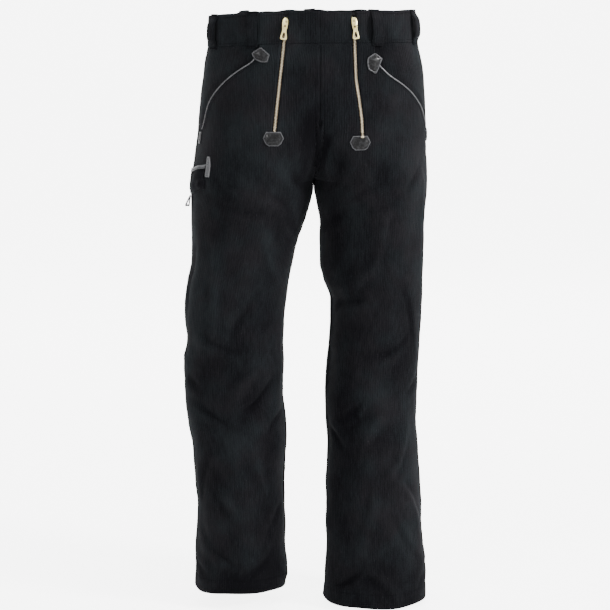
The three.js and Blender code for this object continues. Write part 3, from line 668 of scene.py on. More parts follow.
# ---------------------------------------------------------------- materials
def group_of(name, inputs):
    """New shader group as its wiring, inputs and outputs. An input with four values is a
    colour, one with three or none a vector, and any other a number."""
    tree = bpy.data.node_groups.new(name, "ShaderNodeTree")
    for label, value in inputs.items():
        vector = value is None or np.size(value) == 3
        kind = "Vector" if vector else "Color" if np.size(value) == 4 else "Float"
        sock = tree.interface.new_socket(label, in_out="INPUT", socket_type=f"NodeSocket{kind}")
        if value is not None:
            sock.default_value = value
    for label, kind in (("Color", "Color"), ("Roughness", "Float"), ("Height", "Float")):
        tree.interface.new_socket(label, in_out="OUTPUT", socket_type=f"NodeSocket{kind}")
    given, out = tree.nodes.new("NodeGroupInput"), tree.nodes.new("NodeGroupOutput")
    return Wiring(tree), given.outputs, out.inputs


class Wiring:
    """Short hand for the nodes of one tree: each call adds a node and gives its output."""

    def __init__(self, tree):
        self.tree = tree

    def put(self, socket, value):
        """Links an output to a socket, or sets the socket to a plain value."""
        if isinstance(value, bpy.types.NodeSocket):
            self.tree.links.new(value, socket)
        elif value is not None:
            socket.default_value = value

    def node(self, kind, inputs, **settings):
        """Node of a kind with its settings, and its inputs linked or set."""
        node = self.tree.nodes.new(kind)
        for key, value in settings.items():
            setattr(node, key, value)
        for key, value in inputs.items():
            self.put(node.inputs[key], value)
        return node.outputs

    def math(self, op, *values, clamp=False):
        """Number out of one to three numbers."""
        inputs = dict(enumerate(values))
        return self.node("ShaderNodeMath", inputs, operation=op, use_clamp=clamp)[0]

    def noise(self, vector, scale, detail=3.0, rough=0.5):
        """Cloudy noise from 0 to 1."""
        return self.node("ShaderNodeTexNoise", {
            "Vector": vector, "Scale": scale, "Detail": detail, "Roughness": rough})["Fac"]

    def cells(self, vector, scale):
        """Distance from the middle of the nearest cell."""
        return self.node("ShaderNodeTexVoronoi", {"Vector": vector, "Scale": scale})["Distance"]

    def remap(self, value, a, b, c, d):
        """Run from a to b carried over to a run from c to d, held at its ends."""
        return self.node("ShaderNodeMapRange", {
            "Value": value, "From Min": a, "From Max": b, "To Min": c, "To Max": d})["Result"]

    def mix(self, factor, a, b):
        """Colour a, or b where the factor is 1."""
        return self.node("ShaderNodeMix", {"Factor": factor, "A": a, "B": b},
                         data_type="RGBA")["Result"]

    def scaled(self, vector, scale):
        """Vector stretched along its axes."""
        return self.node("ShaderNodeMapping", {"Vector": vector, "Scale": scale})["Vector"]

    def distance(self, a, b):
        """Distance between two places."""
        return self.node("ShaderNodeVectorMath", {0: a, 1: b}, operation="DISTANCE")["Value"]

    def across(self, vector):
        """First number of a vector."""
        return self.node("ShaderNodeSeparateXYZ", {0: vector})[0]

    def source(self, label):
        """Texture coordinates of a kind."""
        return self.tree.nodes.new("ShaderNodeTexCoord").outputs[label]



def rib_group():
    """Corduroy: round ribs along the grain, cut pile on them, lighter on their backs and darker
    in the grooves, partly wear and partly painted shade, plus the piece's painted light and shade.
    """
    w, given, out = group_of("corduroy_ribs", {
        "Along cloth": None, "In space": None, "Rib width": 0.0042, "Rib depth": 1.0,
        "Dark": (0.0022, 0.0021, 0.0030, 1), "Light": (0.0130, 0.0160, 0.0180, 1),
        "Worn light": (0.0135, 0.0130, 0.0150, 1), "Wear": 0.5, "Light and shade": 0.0,
    })
    flat, space = given["Along cloth"], given["In space"]
    waver = w.math("MULTIPLY", w.math("SUBTRACT", w.noise(flat, 9.0, 2.0), 0.5), 0.0016)
    turns = w.math("DIVIDE", w.math("ADD", w.across(flat), waver), given["Rib width"])
    wave = w.math("SINE", w.math("MULTIPLY", turns, math.pi))
    rib = w.math("POWER", w.math("ABSOLUTE", wave), 0.55)
    pile = w.noise(w.scaled(flat, (1.0, 0.35, 1.0)), 1700.0, 2.0, 0.6)
    tuft = w.noise(flat, 420.0, 2.0, 0.55)
    streak = w.noise(w.scaled(flat, (1.0, 0.16, 1.0)), 300.0, 3.0, 0.65)
    brushed = w.noise(w.scaled(space, (1.0, 1.0, 0.6)), 26.0, 3.0, 0.6)
    height = w.math("MULTIPLY", rib, given["Rib depth"])
    height = w.math("MULTIPLY_ADD", pile, 0.32, height)
    height = w.math("MULTIPLY_ADD", tuft, 0.3, height)
    # Ribs lighter on their backs and darker in the grooves: partly wear, partly painted shade.
    shade = w.math("MULTIPLY_ADD", rib, 0.24, w.remap(pile, 0.3, 0.7, -0.05, 0.15))
    for noise, reach in ((tuft, 0.14), (streak, 0.16), (brushed, 0.14)):
        shade = w.math("ADD", shade, w.remap(noise, 0.3, 0.7, -reach, reach))
    # Painted light and shade of the piece: fold ridges and troughs, crotch, inner legs, hems,
    # hips.
    shade = w.math("MULTIPLY_ADD", given["Light and shade"], 0.075, shade)
    patchy = w.remap(w.noise(space, 7.0, 4.0, 0.55), 0.3, 0.7, -0.12, 0.6)
    shade = w.math("ADD", shade, w.math("MULTIPLY", patchy, given["Wear"]), clamp=True)
    cast = w.remap(w.noise(space, 16.0, 3.0, 0.6), 0.42, 0.6, 0.0, 1.0)
    light = w.mix(cast, given["Light"], given["Worn light"])
    w.put(out["Color"], w.mix(shade, given["Dark"], light))
    w.put(out["Roughness"], w.remap(shade, 0.0, 1.0, 0.97, 0.8))
    w.put(out["Height"], height)
    return w.tree


def leather_group():
    """Leather: pebbled grain of cells, creases between them, rubbed lighter in places, with the
    piece's painted light and shade added.
    """
    w, given, out = group_of("leather_grain", {
        "In space": None, "Grain size": 900.0, "Base": (0.05, 0.05, 0.05, 1),
        "Rubbed": (0.16, 0.16, 0.16, 1), "Wear": 0.5, "Light and shade": 0.0,
    })
    space = given["In space"]
    grain = w.cells(space, given["Grain size"])
    cloudy = w.noise(space, 230.0, 3.0, 0.6)
    wear_and_light = w.math("MULTIPLY", w.remap(cloudy, 0.38, 0.66, 0.0, 1.0), given["Wear"])
    wear_and_light = w.math("ADD", wear_and_light, w.remap(grain, 0.0, 0.9, 0.1, -0.1))
    # Painted light and shade of the piece added to the rubbed share.
    wear_and_light = w.math("ADD", wear_and_light, given["Light and shade"], clamp=True)
    pebble = w.math("SUBTRACT", 1, grain)
    w.put(out["Color"], w.mix(wear_and_light, given["Base"], given["Rubbed"]))
    w.put(out["Roughness"], w.remap(cloudy, 0.35, 0.62, 0.6, 0.26))
    w.put(out["Height"], w.math("MULTIPLY_ADD", w.noise(space, 2600.0, 2.0), 0.25, pebble))
    return w.tree


def wear_group():
    """Metal: fine drawn scratches, dull breath, and painted shade mixed towards a dark brown:
    where the piece carries painted shade, and dark spots at the eye and under the crown seen from
    the front.
    """
    w, given, out = group_of("metal_wear_and_shade", {
        "In space": None, "Bright": (0.9, 0.8, 0.5, 1), "Dull": (0.6, 0.5, 0.3, 1),
        "Wear": 0.5, "Shade colour": (0.040, 0.018, 0.006, 1), "Light and shade": 0.0,
        "Eye": (9.0, 0.0, 9.0), "Crown": (9.0, 0.0, 9.0),
    })
    space = given["In space"]
    breath = w.noise(space, 260.0, 4.0, 0.6)
    lines = w.noise(w.scaled(space, (1.0, 1.0, 0.12)), 5200.0, 2.0, 0.6)
    dull = w.math("MULTIPLY", w.remap(breath, 0.4, 0.7, 0.0, 1.0), given["Wear"])
    face = w.mix(dull, given["Bright"], given["Dull"])
    seen = w.scaled(space, (1.0, 0.0, 1.0))
    # Painted shade at the slider's eye and under its crown, seen from the front.
    eye = w.remap(w.distance(seen, given["Eye"]), 0.0011, 0.0024, 0.9, 0.0)
    crown = w.remap(w.distance(seen, given["Crown"]), 0.0008, 0.0030, 0.6, 0.0)
    # The piece's own painted shade and the two spots, mixed towards the shade colour.
    painted_dark = w.math("ADD", given["Light and shade"], w.math("ADD", eye, crown), clamp=True)
    rough = w.math("MULTIPLY_ADD", lines, 0.14, w.remap(dull, 0.0, 1.0, 0.2, 0.42))
    w.put(out["Color"], w.mix(painted_dark, face, given["Shade colour"]))
    w.put(out["Roughness"], rough)
    w.put(out["Height"], w.math("MULTIPLY_ADD", breath, 0.4, lines))
    return w.tree


def started(name):
    """New material, its wiring and the inputs of its Principled shader."""
    mat = bpy.data.materials.new(name)
    mat.use_nodes = True
    return mat, Wiring(mat.node_tree), mat.node_tree.nodes["Principled BSDF"].inputs


def finish_of(name, group, values, bump, distance, shader):
    """Material of one Principled shader fed by a group through a bump node."""
    mat, w, bsdf = started(name)
    node = mat.node_tree.nodes.new("ShaderNodeGroup")
    node.node_tree = group
    w.put(node.inputs["In space"], w.source("Object"))
    if "Along cloth" in node.inputs:
        w.put(node.inputs["Along cloth"], w.source("UV"))
    # The piece's painted light and shade, read from its point attribute, goes into the group.
    w.put(node.inputs["Light and shade"], w.node("ShaderNodeAttribute", {}, attribute_name="light_and_shade")["Fac"])
    for label, value in values.items():
        node.inputs[label].default_value = value
    raised = w.node("ShaderNodeBump", {
        "Strength": bump, "Distance": distance, "Height": node.outputs["Height"]})
    w.put(bsdf["Base Color"], node.outputs["Color"])
    w.put(bsdf["Roughness"], node.outputs["Roughness"])
    w.put(bsdf["Normal"], raised["Normal"])
    for label, value in shader.items():
        bsdf[label].default_value = value
    return mat


def paper():
    """Plain pale matt paper with a trace of tooth, which glows a little to all rays, lighting the
    garment, and strongly to the camera's rays.
    """
    mat, w, bsdf = started("pale_paper")
    tooth = w.noise(w.source("Object"), 3.0, 2.0)
    w.put(bsdf["Base Color"], w.mix(tooth, (0.9, 0.9, 0.9, 1), (0.93, 0.93, 0.93, 1)))
    bsdf["Roughness"].default_value = 0.95
    seen = w.node("ShaderNodeLightPath", {})["Is Camera Ray"]
    glow = w.mix(seen, (0.25, 0.25, 0.25, 1), (5.0, 5.0, 5.0, 1))
    w.put(bsdf["Emission Color"], glow)
    bsdf["Emission Strength"].default_value = 1.0
    return mat


RIBS, GRAIN, METAL = rib_group(), leather_group(), wear_group()
SOFT = {
    "Sheen Weight": 0.03, "Sheen Roughness": 0.5, "Sheen Tint": (0.75, 0.80, 0.88, 1),
    "Specular IOR Level": 0.06,
}
CORDUROY = finish_of("black_corduroy", RIBS, {}, 0.55, 0.0009, SOFT)
FACING = finish_of("pocket_corduroy", RIBS, {"Wear": 0.2}, 0.55, 0.0009, SOFT)
TAPE = finish_of(
    "zip_tape_twill", RIBS,
    {"Rib width": 0.0009, "Wear": 0.1, "Light": (0.009, 0.009, 0.010, 1),
     "Worn light": (0.009, 0.008, 0.009, 1)},
    0.35, 0.0002, {"Sheen Weight": 0.03, "Specular IOR Level": 0.2},
)
HIDE = finish_of(
    "black_leather", GRAIN,
    {"Base": (0.003, 0.003, 0.0034, 1), "Rubbed": (0.085, 0.086, 0.092, 1), "Wear": 0.34},
    0.5, 0.0004, {"Specular IOR Level": 0.10, "Coat Weight": 0.26, "Coat Roughness": 0.16},
)
PIPING = finish_of(
    "grey_leather", GRAIN,
    {"Base": (0.045, 0.046, 0.050, 1), "Rubbed": (0.13, 0.132, 0.138, 1), "Wear": 0.6},
    0.3, 0.00025, {"Specular IOR Level": 0.5, "Coat Weight": 0.1, "Coat Roughness": 0.3},
)
# Middles of the painted shade in the eye of each slider and of the painted shade under its crown,
# in m.
SHADE_SPOTS = {
    -1: ((-0.0602, 0.0, 0.0020), (-0.0576, 0.0, 0.0092)),
    1: ((0.0610, 0.0, 0.0008), (0.0597, 0.0, 0.0104)),
}
BRASS = {
    side: finish_of(
        f"pale_brass_{TAG[side]}", METAL,
        {"Bright": (1.0, 0.88, 0.42, 1), "Dull": (0.80, 0.58, 0.20, 1), "Wear": 0.45,
         "Eye": SHADE_SPOTS[side][0], "Crown": SHADE_SPOTS[side][1]},
        0.12, 0.00008, {"Metallic": 1.0},
    ) for side in (-1, 1)
}
PALE = finish_of(
    "tooth_metal", METAL,
    {"Bright": (0.62, 0.54, 0.40, 1), "Dull": (0.36, 0.28, 0.17, 1), "Wear": 0.6},
    0.12, 0.00008, {"Metallic": 1.0},
)
THREAD = finish_of(
    "black_thread", RIBS,
    {"Light": (0.007, 0.007, 0.008, 1), "Worn light": (0.007, 0.006, 0.007, 1), "Wear": 0.1},
    0.2, 0.0001, {"Specular IOR Level": 0.05},
)


def place(obj, body, slot, *nodes):
    """Rides a body and stands in for its CAD nodes; the finish slot is not used."""
    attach(obj, body)
    if nodes:
        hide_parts(*nodes)


# ---------------------------------------------------------------- trouser panels
# Columns of a panel's grid at set distances from an edge, and past one that is tucked.
EDGE = np.array([0.0, 0.6, 1.4, 2.6, 4.4, 7.0])
TUCK = np.array([-4.5, -1.2])
PAST = len(TUCK)


def panel_levels(side):
    """Heights close together at the band, the fork and the hem, about 4 mm elsewhere."""
    hem = HEM[side]
    return np.concatenate([
        [-19.0, -23.0, -27.4, -27.8, -28.6, -30.0], np.arange(-32.5, -246, -3.4),
        np.arange(-246, -264, -2.0),
        np.arange(-264, -271.8, -0.65), [-272.0, -272.7, -274.0, -276.4, -280.0, -285.0],
        np.arange(-290, hem + 34, -4.1), np.arange(hem + 32, hem + 20, -1.6),
        np.arange(hem + 20, hem + 3, -3.4), [hem + 2.2, hem + 1.0, hem + 0.3, hem],
    ])


def seam_roll(gap):
    """Dip at a seam and a soft swell beside it, by distance from the edge. Past the edge
    the cloth dives under its neighbour."""
    gap = np.asarray(gap, float)
    swell = 0.55 * np.exp(-(((gap - 3.6) / 2.6) ** 2)) - 0.95 * np.exp(-((gap / 1.1) ** 2))
    return np.where(gap < 0, -0.87 - 1.35 * step(0, -1.0, gap), swell)


def middle_calm(side, z, gap):
    """How far the middle seam rolls in: 1 where it stands upright, 0 where it runs level
    under the fork, and 1 again down the inseam."""
    above = step(28, 62, degrees_at(side, SEAM_GAP / 2, z, 0.0, 92.0))
    below = np.where(gap < 0, 1.0, step(5, 17, FORK - z))
    return np.where(z > FORK, above, below)


def pucker(gap, along_z, phase=0.0):
    """Short ripples square to a seam, uneven in size, gone a finger's width off it."""
    ripple = np.sin(along_z / 2.9 + 1.7 * np.sin(along_z / 21.0 + phase) + phase)
    size = 0.5 + 0.5 * np.sin(along_z / 37.0 + 2 * phase)
    return 0.42 * ripple * size * np.exp(-((np.maximum(gap, 0) / 7.0) ** 2))


def below_band(z):
    """0 behind the band, 1 from a finger's width below its lower rim."""
    return step(-27, -34, z)


def under_band(z):
    """Upper edge of a panel tucked in behind the band."""
    return -3.5 * step(-27.8, -27.3, z)


def hem_roll(side, z):
    """Doubled cloth below the hem stitching, pinched at the stitch line, rounded edge."""
    up = z - HEM[side]
    pinch = -0.4 * np.exp(-(((up - HEM_LINE) / 2.2) ** 2))
    double = 0.55 * step(27, 22, up)
    return pinch + double - 1.1 * np.exp(-((up / 1.2) ** 2))


def from_edges(deg, side, z, first=0, last=-1):
    """Distance in mm of each column from a column near each end, less than 0 past it."""
    arc = arc_of(skin(side, deg, z))
    return arc - arc[:, first][:, None], arc[:, last][:, None] - arc


def columns(a, b, per_a, per_b, count, crowd, tuck_a=False, tuck_b=False):
    """Columns between two edges: a few at set distances from each, the rest spread, and
    two past an edge that is tucked under its neighbour."""
    near = np.concatenate([TUCK if tuck_a else [], EDGE])
    far = np.concatenate([TUCK if tuck_b else [], EDGE])
    first = a[:, None] + near[None, :] / per_a[:, None]
    last = b[:, None] - far[None, ::-1] / per_b[:, None]
    t = (np.arange(1, count) / count)[None, :]
    power = crowd[:, None]
    lo, hi = first[:, -1:], last[:, :1]
    middle = hi * t + lo * (1 - t) ** power
    middle = np.where(power > 1.001, middle, lo + (hi - lo) * t)
    return np.concatenate([first, middle, last], axis=1)


def crowding(turn, z):
    """Power by which columns crowd to the middle seam, from its degrees off the plane."""
    near = 1 + 4 * np.maximum(0, 1 - turn / 80)
    return np.where(z > FORK - 60, near, 1 + 4 * step(FORK - 200, FORK - 60, z))


def side_seam(side, z, hand):
    """Degrees of the side seam, half its gap to one hand of it."""
    return SIDE_SEAM + hand * SEAM_GAP / 2 / per_degree(side, np.full(z.shape, SIDE_SEAM), z)


def front_panel(side):
    """Front leg panel from the middle seam and inseam out to the pocket mouth and side seam,
    with the zip's slit left open between two of its columns."""
    z = panel_levels(side)
    inner = front_inner(side, z)
    outer = np.where(z > MOUTH_END, along(MOUTH[side], z), SIDE_SEAM)
    outer = outer - SEAM_GAP / 2 / per_degree(side, outer, z)
    reach = along(ZIP[side], np.maximum(z, ZIP_END))
    low = degrees_at(side, reach - SLIT / 2, z, 40.0)
    high = degrees_at(side, reach + SLIT / 2, z, 40.0)
    share = ((low - inner) / (outer - inner))[np.argmin(np.abs(z - ZIP_END))]
    share = share + (0.4 - share) * step(ZIP_END, -380, z)
    width = (high - low)[np.argmin(np.abs(z - ZIP_END))]
    below = z < ZIP_END
    low = np.where(below, inner + (outer - inner) * share, low)
    high = np.where(below, low + width, high)
    a = columns(inner, low, per_degree(side, inner + 1, z), per_degree(side, low, z), FLY_COLUMNS,
                crowding(inner, z), tuck_a=side > 0)
    b = columns(high, outer, per_degree(side, high, z), per_degree(side, outer, z),
                FRONT_COLUMNS, np.ones_like(z))
    deg = np.concatenate([a, b], axis=1)
    rows = z[:, None]
    cut = a.shape[1] - 1
    arc, back = from_edges(deg, side, rows, PAST if side > 0 else 0)
    arc = np.where((arc < 0) & (rows < FORK), 0.0, arc)
    deg = np.where((arc <= 0) & (rows < FORK), inner[:, None], deg)
    slit = np.abs(arc - (arc[:, cut:cut + 1] + arc[:, cut + 1:cut + 2]) / 2) - SLIT / 2
    open_slit = step(ZIP_END - 4, ZIP_END + 2, rows)
    middle = (seam_roll(arc) + pucker(arc, rows)) * middle_calm(side, rows, arc)
    lift = middle + seam_roll(back) + hem_roll(side, rows)
    lift = lift + seam_roll(np.maximum(slit, 0)) * open_slit
    lift = lift + pucker(back, rows, 1.0) + pucker(slit, rows, 2.0) * open_slit
    lift = np.where(arc < 0, lift, lift * below_band(rows)) + under_band(rows)
    keep = np.ones((len(z) - 1, deg.shape[1] - 1), bool)
    if side > 0:
        keep[z[1:] < FORK, :PAST] = False
    keep[z[1:] > ZIP_END - 0.5, cut] = False
    tag = TAG[side]
    obj = cloth_piece(f"front_panel_{tag}", side, deg, rows, lift, CORDUROY, CLOTH, keep=keep)
    place(obj, "trousers", "corduroy", f"front_{tag}")


def back_panel(side):
    """Back leg panel from the side seam round to the seat seam and inseam."""
    z = panel_levels(side)
    inner = back_inner(side, z)
    outer = side_seam(side, z, 1)
    mirrored = columns(
        360 - inner, 360 - outer, per_degree(side, inner - 1, z), per_degree(side, outer, z),
        BACK_COLUMNS, crowding(360 - inner, z), tuck_a=True, tuck_b=True)
    deg = 360 - mirrored[:, ::-1]
    rows = z[:, None]
    arc, back = from_edges(deg, side, rows, PAST, -1 - PAST)
    keep = np.ones((len(z) - 1, deg.shape[1] - 1), bool)
    if side < 0:
        loose = (back < 0) & (rows > FORK)
        deg = np.where(loose, inner[:, None], deg)
        back = np.where(loose, 0.0, back)
        keep[z[:-1] > FORK, -PAST:] = False
    middle = (seam_roll(back) + pucker(back, rows, 2.3)) * middle_calm(side, rows, back)
    lift = middle + seam_roll(arc) + pucker(arc, rows, 1.0) + hem_roll(side, rows)
    tucked = (arc < 0) | (back < 0)
    lift = np.where(tucked, lift, lift * below_band(rows)) + under_band(rows)
    tag = TAG[side]
    obj = cloth_piece(f"back_panel_{tag}", side, deg, rows, lift, CORDUROY, CLOTH, keep=keep)
    place(obj, "trousers", "corduroy", f"back_{tag}")


def pocket_facing(side):
    """Hip piece that dives under the front panel along the pocket mouth."""
    z = np.concatenate([[-20.0, -27.4, -27.8, -29.0], np.arange(-31, -184, -2.6), [-185.0]])
    mouth = along(MOUTH[side], z)
    a = mouth - 8 / per_degree(side, mouth, z)
    b = side_seam(side, z, -1)
    t = np.linspace(0, 1, FACING_COLUMNS)[None, :]
    t = t + 0.06 * np.sin(2 * math.pi * t)
    deg = a[:, None] + (b - a)[:, None] * t
    rows = z[:, None]
    beyond = (deg - mouth[:, None]) * per_degree(side, deg, rows)
    back = (b[:, None] - deg) * per_degree(side, deg, rows)
    lift = -2.8 * (1 - step(4, 24, beyond)) - step(-165, -185, rows)
    lift = lift - 0.7 * np.exp(-((back / 1.1) ** 2)) - 0.15
    lift = lift + under_band(rows) * step(4, 24, beyond)
    tag = TAG[side]
    obj = cloth_piece(f"pocket_facing_cloth_{tag}", side, deg, rows, lift, FACING, CLOTH, 150.0)
    place(obj, "trousers", "corduroy", f"pocket_facing_{tag}")


def pocket_piping(side):
    """Rounded leather lip swept along the pocket mouth."""
    z = np.linspace(-50, -180, 90)
    deg = evened(along(MOUTH[side], z), 4)
    path, up = seam_path(side, deg + 1.45 / per_degree(side, deg, z), z, -0.55)
    points, faces = sweep(path[1:-1], up[1:-1], round_profile(2.3, 1.7, 2.6))
    if side > 0:
        faces = [f[:, ::-1] for f in faces]
    obj = make(f"mouth_lip_{TAG[side]}", points, faces, PIPING)
    place(obj, "trousers", "leather", f"pocket_piping_{TAG[side]}")


# ---------------------------------------------------------------- waistband and loops
def band_piece(kind, side, a, b, count, node, tucks):
    """Doubled band between two edges, its rims rolled in and stitched lines pressed."""
    z = np.concatenate([
        [BAND_TOP, 27.2, 26.4, 25.2, 23.6, 22.4], np.linspace(20, -20, 19),
        [-22.0, -23.6, -25.2, -26.6, BAND_FOOT],
    ])
    a, b = a(z), b(z)
    deg = columns(a, b, per_degree(side, a, z), per_degree(side, b, z), count,
                  np.ones_like(z), *tucks)
    rows = z[:, None]
    arc, back = from_edges(deg, side, rows, PAST * tucks[0], -1 - PAST * tucks[1])
    rim = np.minimum(BAND_TOP - rows, rows - BAND_FOOT)
    lift = 0.4 - 1.1 * np.exp(-((rim / 1.3) ** 2)) - 0.35 * np.exp(-(((rim - 4.5) / 1.1) ** 2))
    lift = lift + 0.35 * np.sin(arc / 21.0) * np.cos(rows / 26.0)
    near = np.minimum(arc, back)
    lift = lift - 0.8 * np.exp(-((np.maximum(near, 0) / 1.2) ** 2)) - 2.4 * step(0, -1, near)
    tag = TAG[side]
    obj = cloth_piece(f"{kind}_{tag}", side, deg, rows, lift, CORDUROY, BAND_CLOTH, 90.0)
    place(obj, "trousers", "corduroy", f"{node}_{tag}")


def zip_edge(side, offset):
    """Degrees by height of a line at a distance from the zip's own line."""
    return lambda z: degrees_at(side, along(ZIP[side], z) + offset, z, 60.0)


def centre_front(side):
    """Degrees by height of the band's edge at the middle plane."""
    return lambda z: degrees_at(side, SEAM_GAP / 2, z, 60.0)


def waistband(side):
    """Fly part between the zips and the long part round to the centre back."""
    front = centre_front(side)
    band_piece("fly_band", side, front, zip_edge(side, -SLIT / 2), FLY_BAND_COLUMNS,
               "waistband_fly", (side > 0, False))
    band_piece("long_band", side, zip_edge(side, SLIT / 2), lambda z: 360 - front(z),
               LONG_BAND_COLUMNS, "waistband", (False, side > 0))


def loop_line(side, deg, stand, z, offset):
    """Degrees, height and lift of a belt loop's outer face, at distances off its middle."""
    share = evened(along(LOOP_RUN, z), 3)
    lift = 0.9 + share * (stand - 0.5) + LOOP_CLOTH
    per = per_degree(side, np.full(z.shape, deg), z)
    return deg + offset / per[:, None], z[:, None], lift[:, None]


def belt_loop(side, deg, stand, name):
    """Folded strap standing off the band, rolled long edges, stitched near both and at its
    ends. Gives its stitches."""
    z = np.linspace(29, -32, 49)
    off = np.array([-10, -9.8, -9.2, -8.2, -7, -5, -2.5, 0, 2.5, 5, 7, 8.2, 9.2, 9.8, 10.0])
    d, rows, lift = loop_line(side, deg, stand, z, off[None, :])
    roll = 0.9 * np.exp(-(((LOOP_HALF - np.abs(off)) / 0.9) ** 2))
    groove = 0.3 * np.exp(-(((np.abs(off) - LOOP_LINE) / 0.8) ** 2))
    hump = 0.25 * np.cos(off / LOOP_HALF * math.pi / 2)
    points = lifted(side, d, np.broadcast_to(rows, d.shape), lift - roll - groove + hump)
    uv = np.stack(np.broadcast_arrays(off, rows), -1)
    obj = make(f"{name}_strap", points, [grid_faces(*d.shape, flip=side < 0)], CORDUROY, uv)
    thick(obj, LOOP_CLOTH)
    place(obj, "trousers", "corduroy", name)
    threads = []
    for edge in (-LOOP_LINE, LOOP_LINE):
        d, rows, lift = loop_line(side, deg, stand, z, np.array([[edge]]))
        d, rows = d[:, 0], rows[:, 0]
        path = lifted(side, d, rows, lift[:, 0] - 0.02)
        threads.append(stitches(path, outward(side, d, rows), *LOOP_STITCH))
    u = np.linspace(-8, 8, 24)
    for level in (26.6, 25.2, -28.6, -30.0):
        rows = np.full(u.shape, level)
        d = deg + u / per_degree(side, np.full(u.shape, deg), rows)
        threads.append(stitches(*seam_path(side, d, rows, 3.15), *BAR_TACK))
    return threads


# ---------------------------------------------------------------- zips
def zip_parts(side):
    """Twill tape with a hole round the slider's stem, and the chain of teeth down to the
    leather patch."""
    tag = TAG[side]
    z = np.linspace(25, ZIP_END - 6, 108)
    across = np.linspace(-TAPE_HALF, TAPE_HALF, 17)
    middle = degrees_at(side, along(ZIP[side], z), z, 55.0)
    deg = middle[:, None] + across[None, :] / per_degree(side, middle, z)[:, None]
    rows = np.broadcast_to(z[:, None], deg.shape)
    points = lifted(side, deg, rows, np.full(deg.shape, -TAPE_DEPTH))
    uv = np.stack([np.broadcast_to(across, deg.shape), rows], -1)
    level = (z[1:] + z[:-1])[:, None] / 2
    mid = (across[1:] + across[:-1])[None, :] / 2
    keep = ~((level > 2.5) & (level < 22) & (np.abs(mid) < 3.2))
    faces = [grid_faces(*deg.shape, flip=side < 0, keep=keep)]
    obj = thick(make(f"tape_{tag}", points, faces, TAPE, uv), TAPE_CLOTH)
    place(obj, "trousers", "zip_tape", f"zip_tape_{tag}")
    foot = ZIP_END + 1 if side < 0 else ZIP_END - 6.5
    z = np.linspace(-6.6, foot, 140)
    middle = degrees_at(side, along(ZIP[side], z), z, 55.0)
    path, up = seam_path(side, middle, z, -1.0)
    path = path + up * (3.6 * step(ZIP_END + 3, ZIP_END - 2.5, z))[:, None]
    points, faces, tooth_shade = zip_teeth(path, up)
    obj = make(f"teeth_{tag}", points, faces, PALE, light_and_shade=tooth_shade)
    place(obj, "trousers", "brass", f"zip_chain_{tag}")


def squarish(v):
    """Sine or cosine pushed out towards 1, which turns a ball into a rounded block."""
    return np.sign(v) * np.abs(v) ** 0.55


def blocks(path, up, arc, at, shift, size, end_shade):
    """Rounded blocks at distances along a path, shifted across it, with painted shade at
    their ends and under the pull tab."""
    centre = at_run(at, arc, path)
    ahead = unit(at_run(at + 0.5, arc, path) - at_run(at - 0.5, arc, path))
    normal = unit(at_run(at, arc, up))
    side = np.cross(ahead, normal)
    lat = np.radians([-88, -52, -20, 20, 52, 88])[:, None]
    lon = np.linspace(0, 2 * math.pi, 8, endpoint=False)[None, :]
    x = squarish(np.cos(lat)) * squarish(np.cos(lon)) * size[0] / 2
    y = squarish(np.cos(lat)) * squarish(np.sin(lon)) * size[1] / 2
    h = squarish(np.sin(lat)) * np.ones_like(lon) * size[2] / 2
    x, y, h = (v.reshape(-1, 1) for v in (x, y, h))
    off = x + shift[:, None, None]
    points = centre[:, None] + side[:, None] * off + ahead[:, None] * y + normal[:, None] * h
    # Painted shade on the outer ends of each tooth.
    ends = np.clip((np.abs(off) - 1.8) / 0.9, 0, 1) * end_shade
    # Painted shadow on the teeth under the pull tab.
    tab_shadow = np.clip(1.2 - at / 9.0, 0, 1)[:, None, None]
    tooth_shade = np.maximum(ends, tab_shadow * np.ones_like(ends)).ravel()
    return points.reshape(-1, 3), tube_faces(lat.size, lon.size, len(at)), tooth_shade


def zip_teeth(path, up):
    """Teeth set alternately left and right along a path, then the end stop."""
    arc = arc_of(path)
    order = np.arange(int(arc[-1] / TOOTH_PITCH) - 2)
    hand = np.where(order % 2 == 0, 1.0, -1.0)
    at = (order + 0.7) * TOOTH_PITCH
    teeth = blocks(path, up, arc, at, hand * 1.2, (4.4, 1.15, 2.8), 1.0)
    end = np.array([arc[-1] - 1.0])
    stop = blocks(path, up, arc, end, np.zeros(1), (6.0, 3.4, 3.0), 0.0)
    return *merged([teeth[:2], stop[:2]]), np.concatenate([teeth[2], stop[2]])


def refined(node, name, material, body, slot, width):
    """Merged copy of a CAD solid, its flats joined up and its edges rounded."""
    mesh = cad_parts[node].data.copy()
    bm = bmesh.new()
    bm.from_mesh(mesh)
    bmesh.ops.remove_doubles(bm, verts=bm.verts, dist=1e-5)
    bmesh.ops.dissolve_limit(bm, angle_limit=math.radians(2), verts=bm.verts, edges=bm.edges)
    bm.to_mesh(mesh)
    bm.free()
    mesh.materials.clear()
    mesh.materials.append(material)
    mesh.shade_smooth()
    obj = linked(name, mesh)
    mod = obj.modifiers.new("edges", "BEVEL")
    mod.width = width * MM
    mod.segments = 2
    mod.limit_method = "ANGLE"
    mod.angle_limit = math.radians(25)
    mod.use_clamp_overlap = True
    mod.harden_normals = True
    place(obj, body, slot, node)


# ---------------------------------------------------------------- leather pieces
def outline_of(rows, count):
    """Height, inner and outer edge of a patch at even steps up it."""
    table = np.array(rows, float)[::-1]
    up = np.linspace(table[-1, 0], table[0, 0], count)
    return up, np.interp(up, table[:, 0], table[:, 1]), np.interp(up, table[:, 0], table[:, 2])


def ring_of(rows):
    """Corners of a patch in order: down its inner edge and up its outer one."""
    table = np.array(rows, float)
    return np.concatenate([table[:, [1, 0]], table[::-1, [2, 0]]])


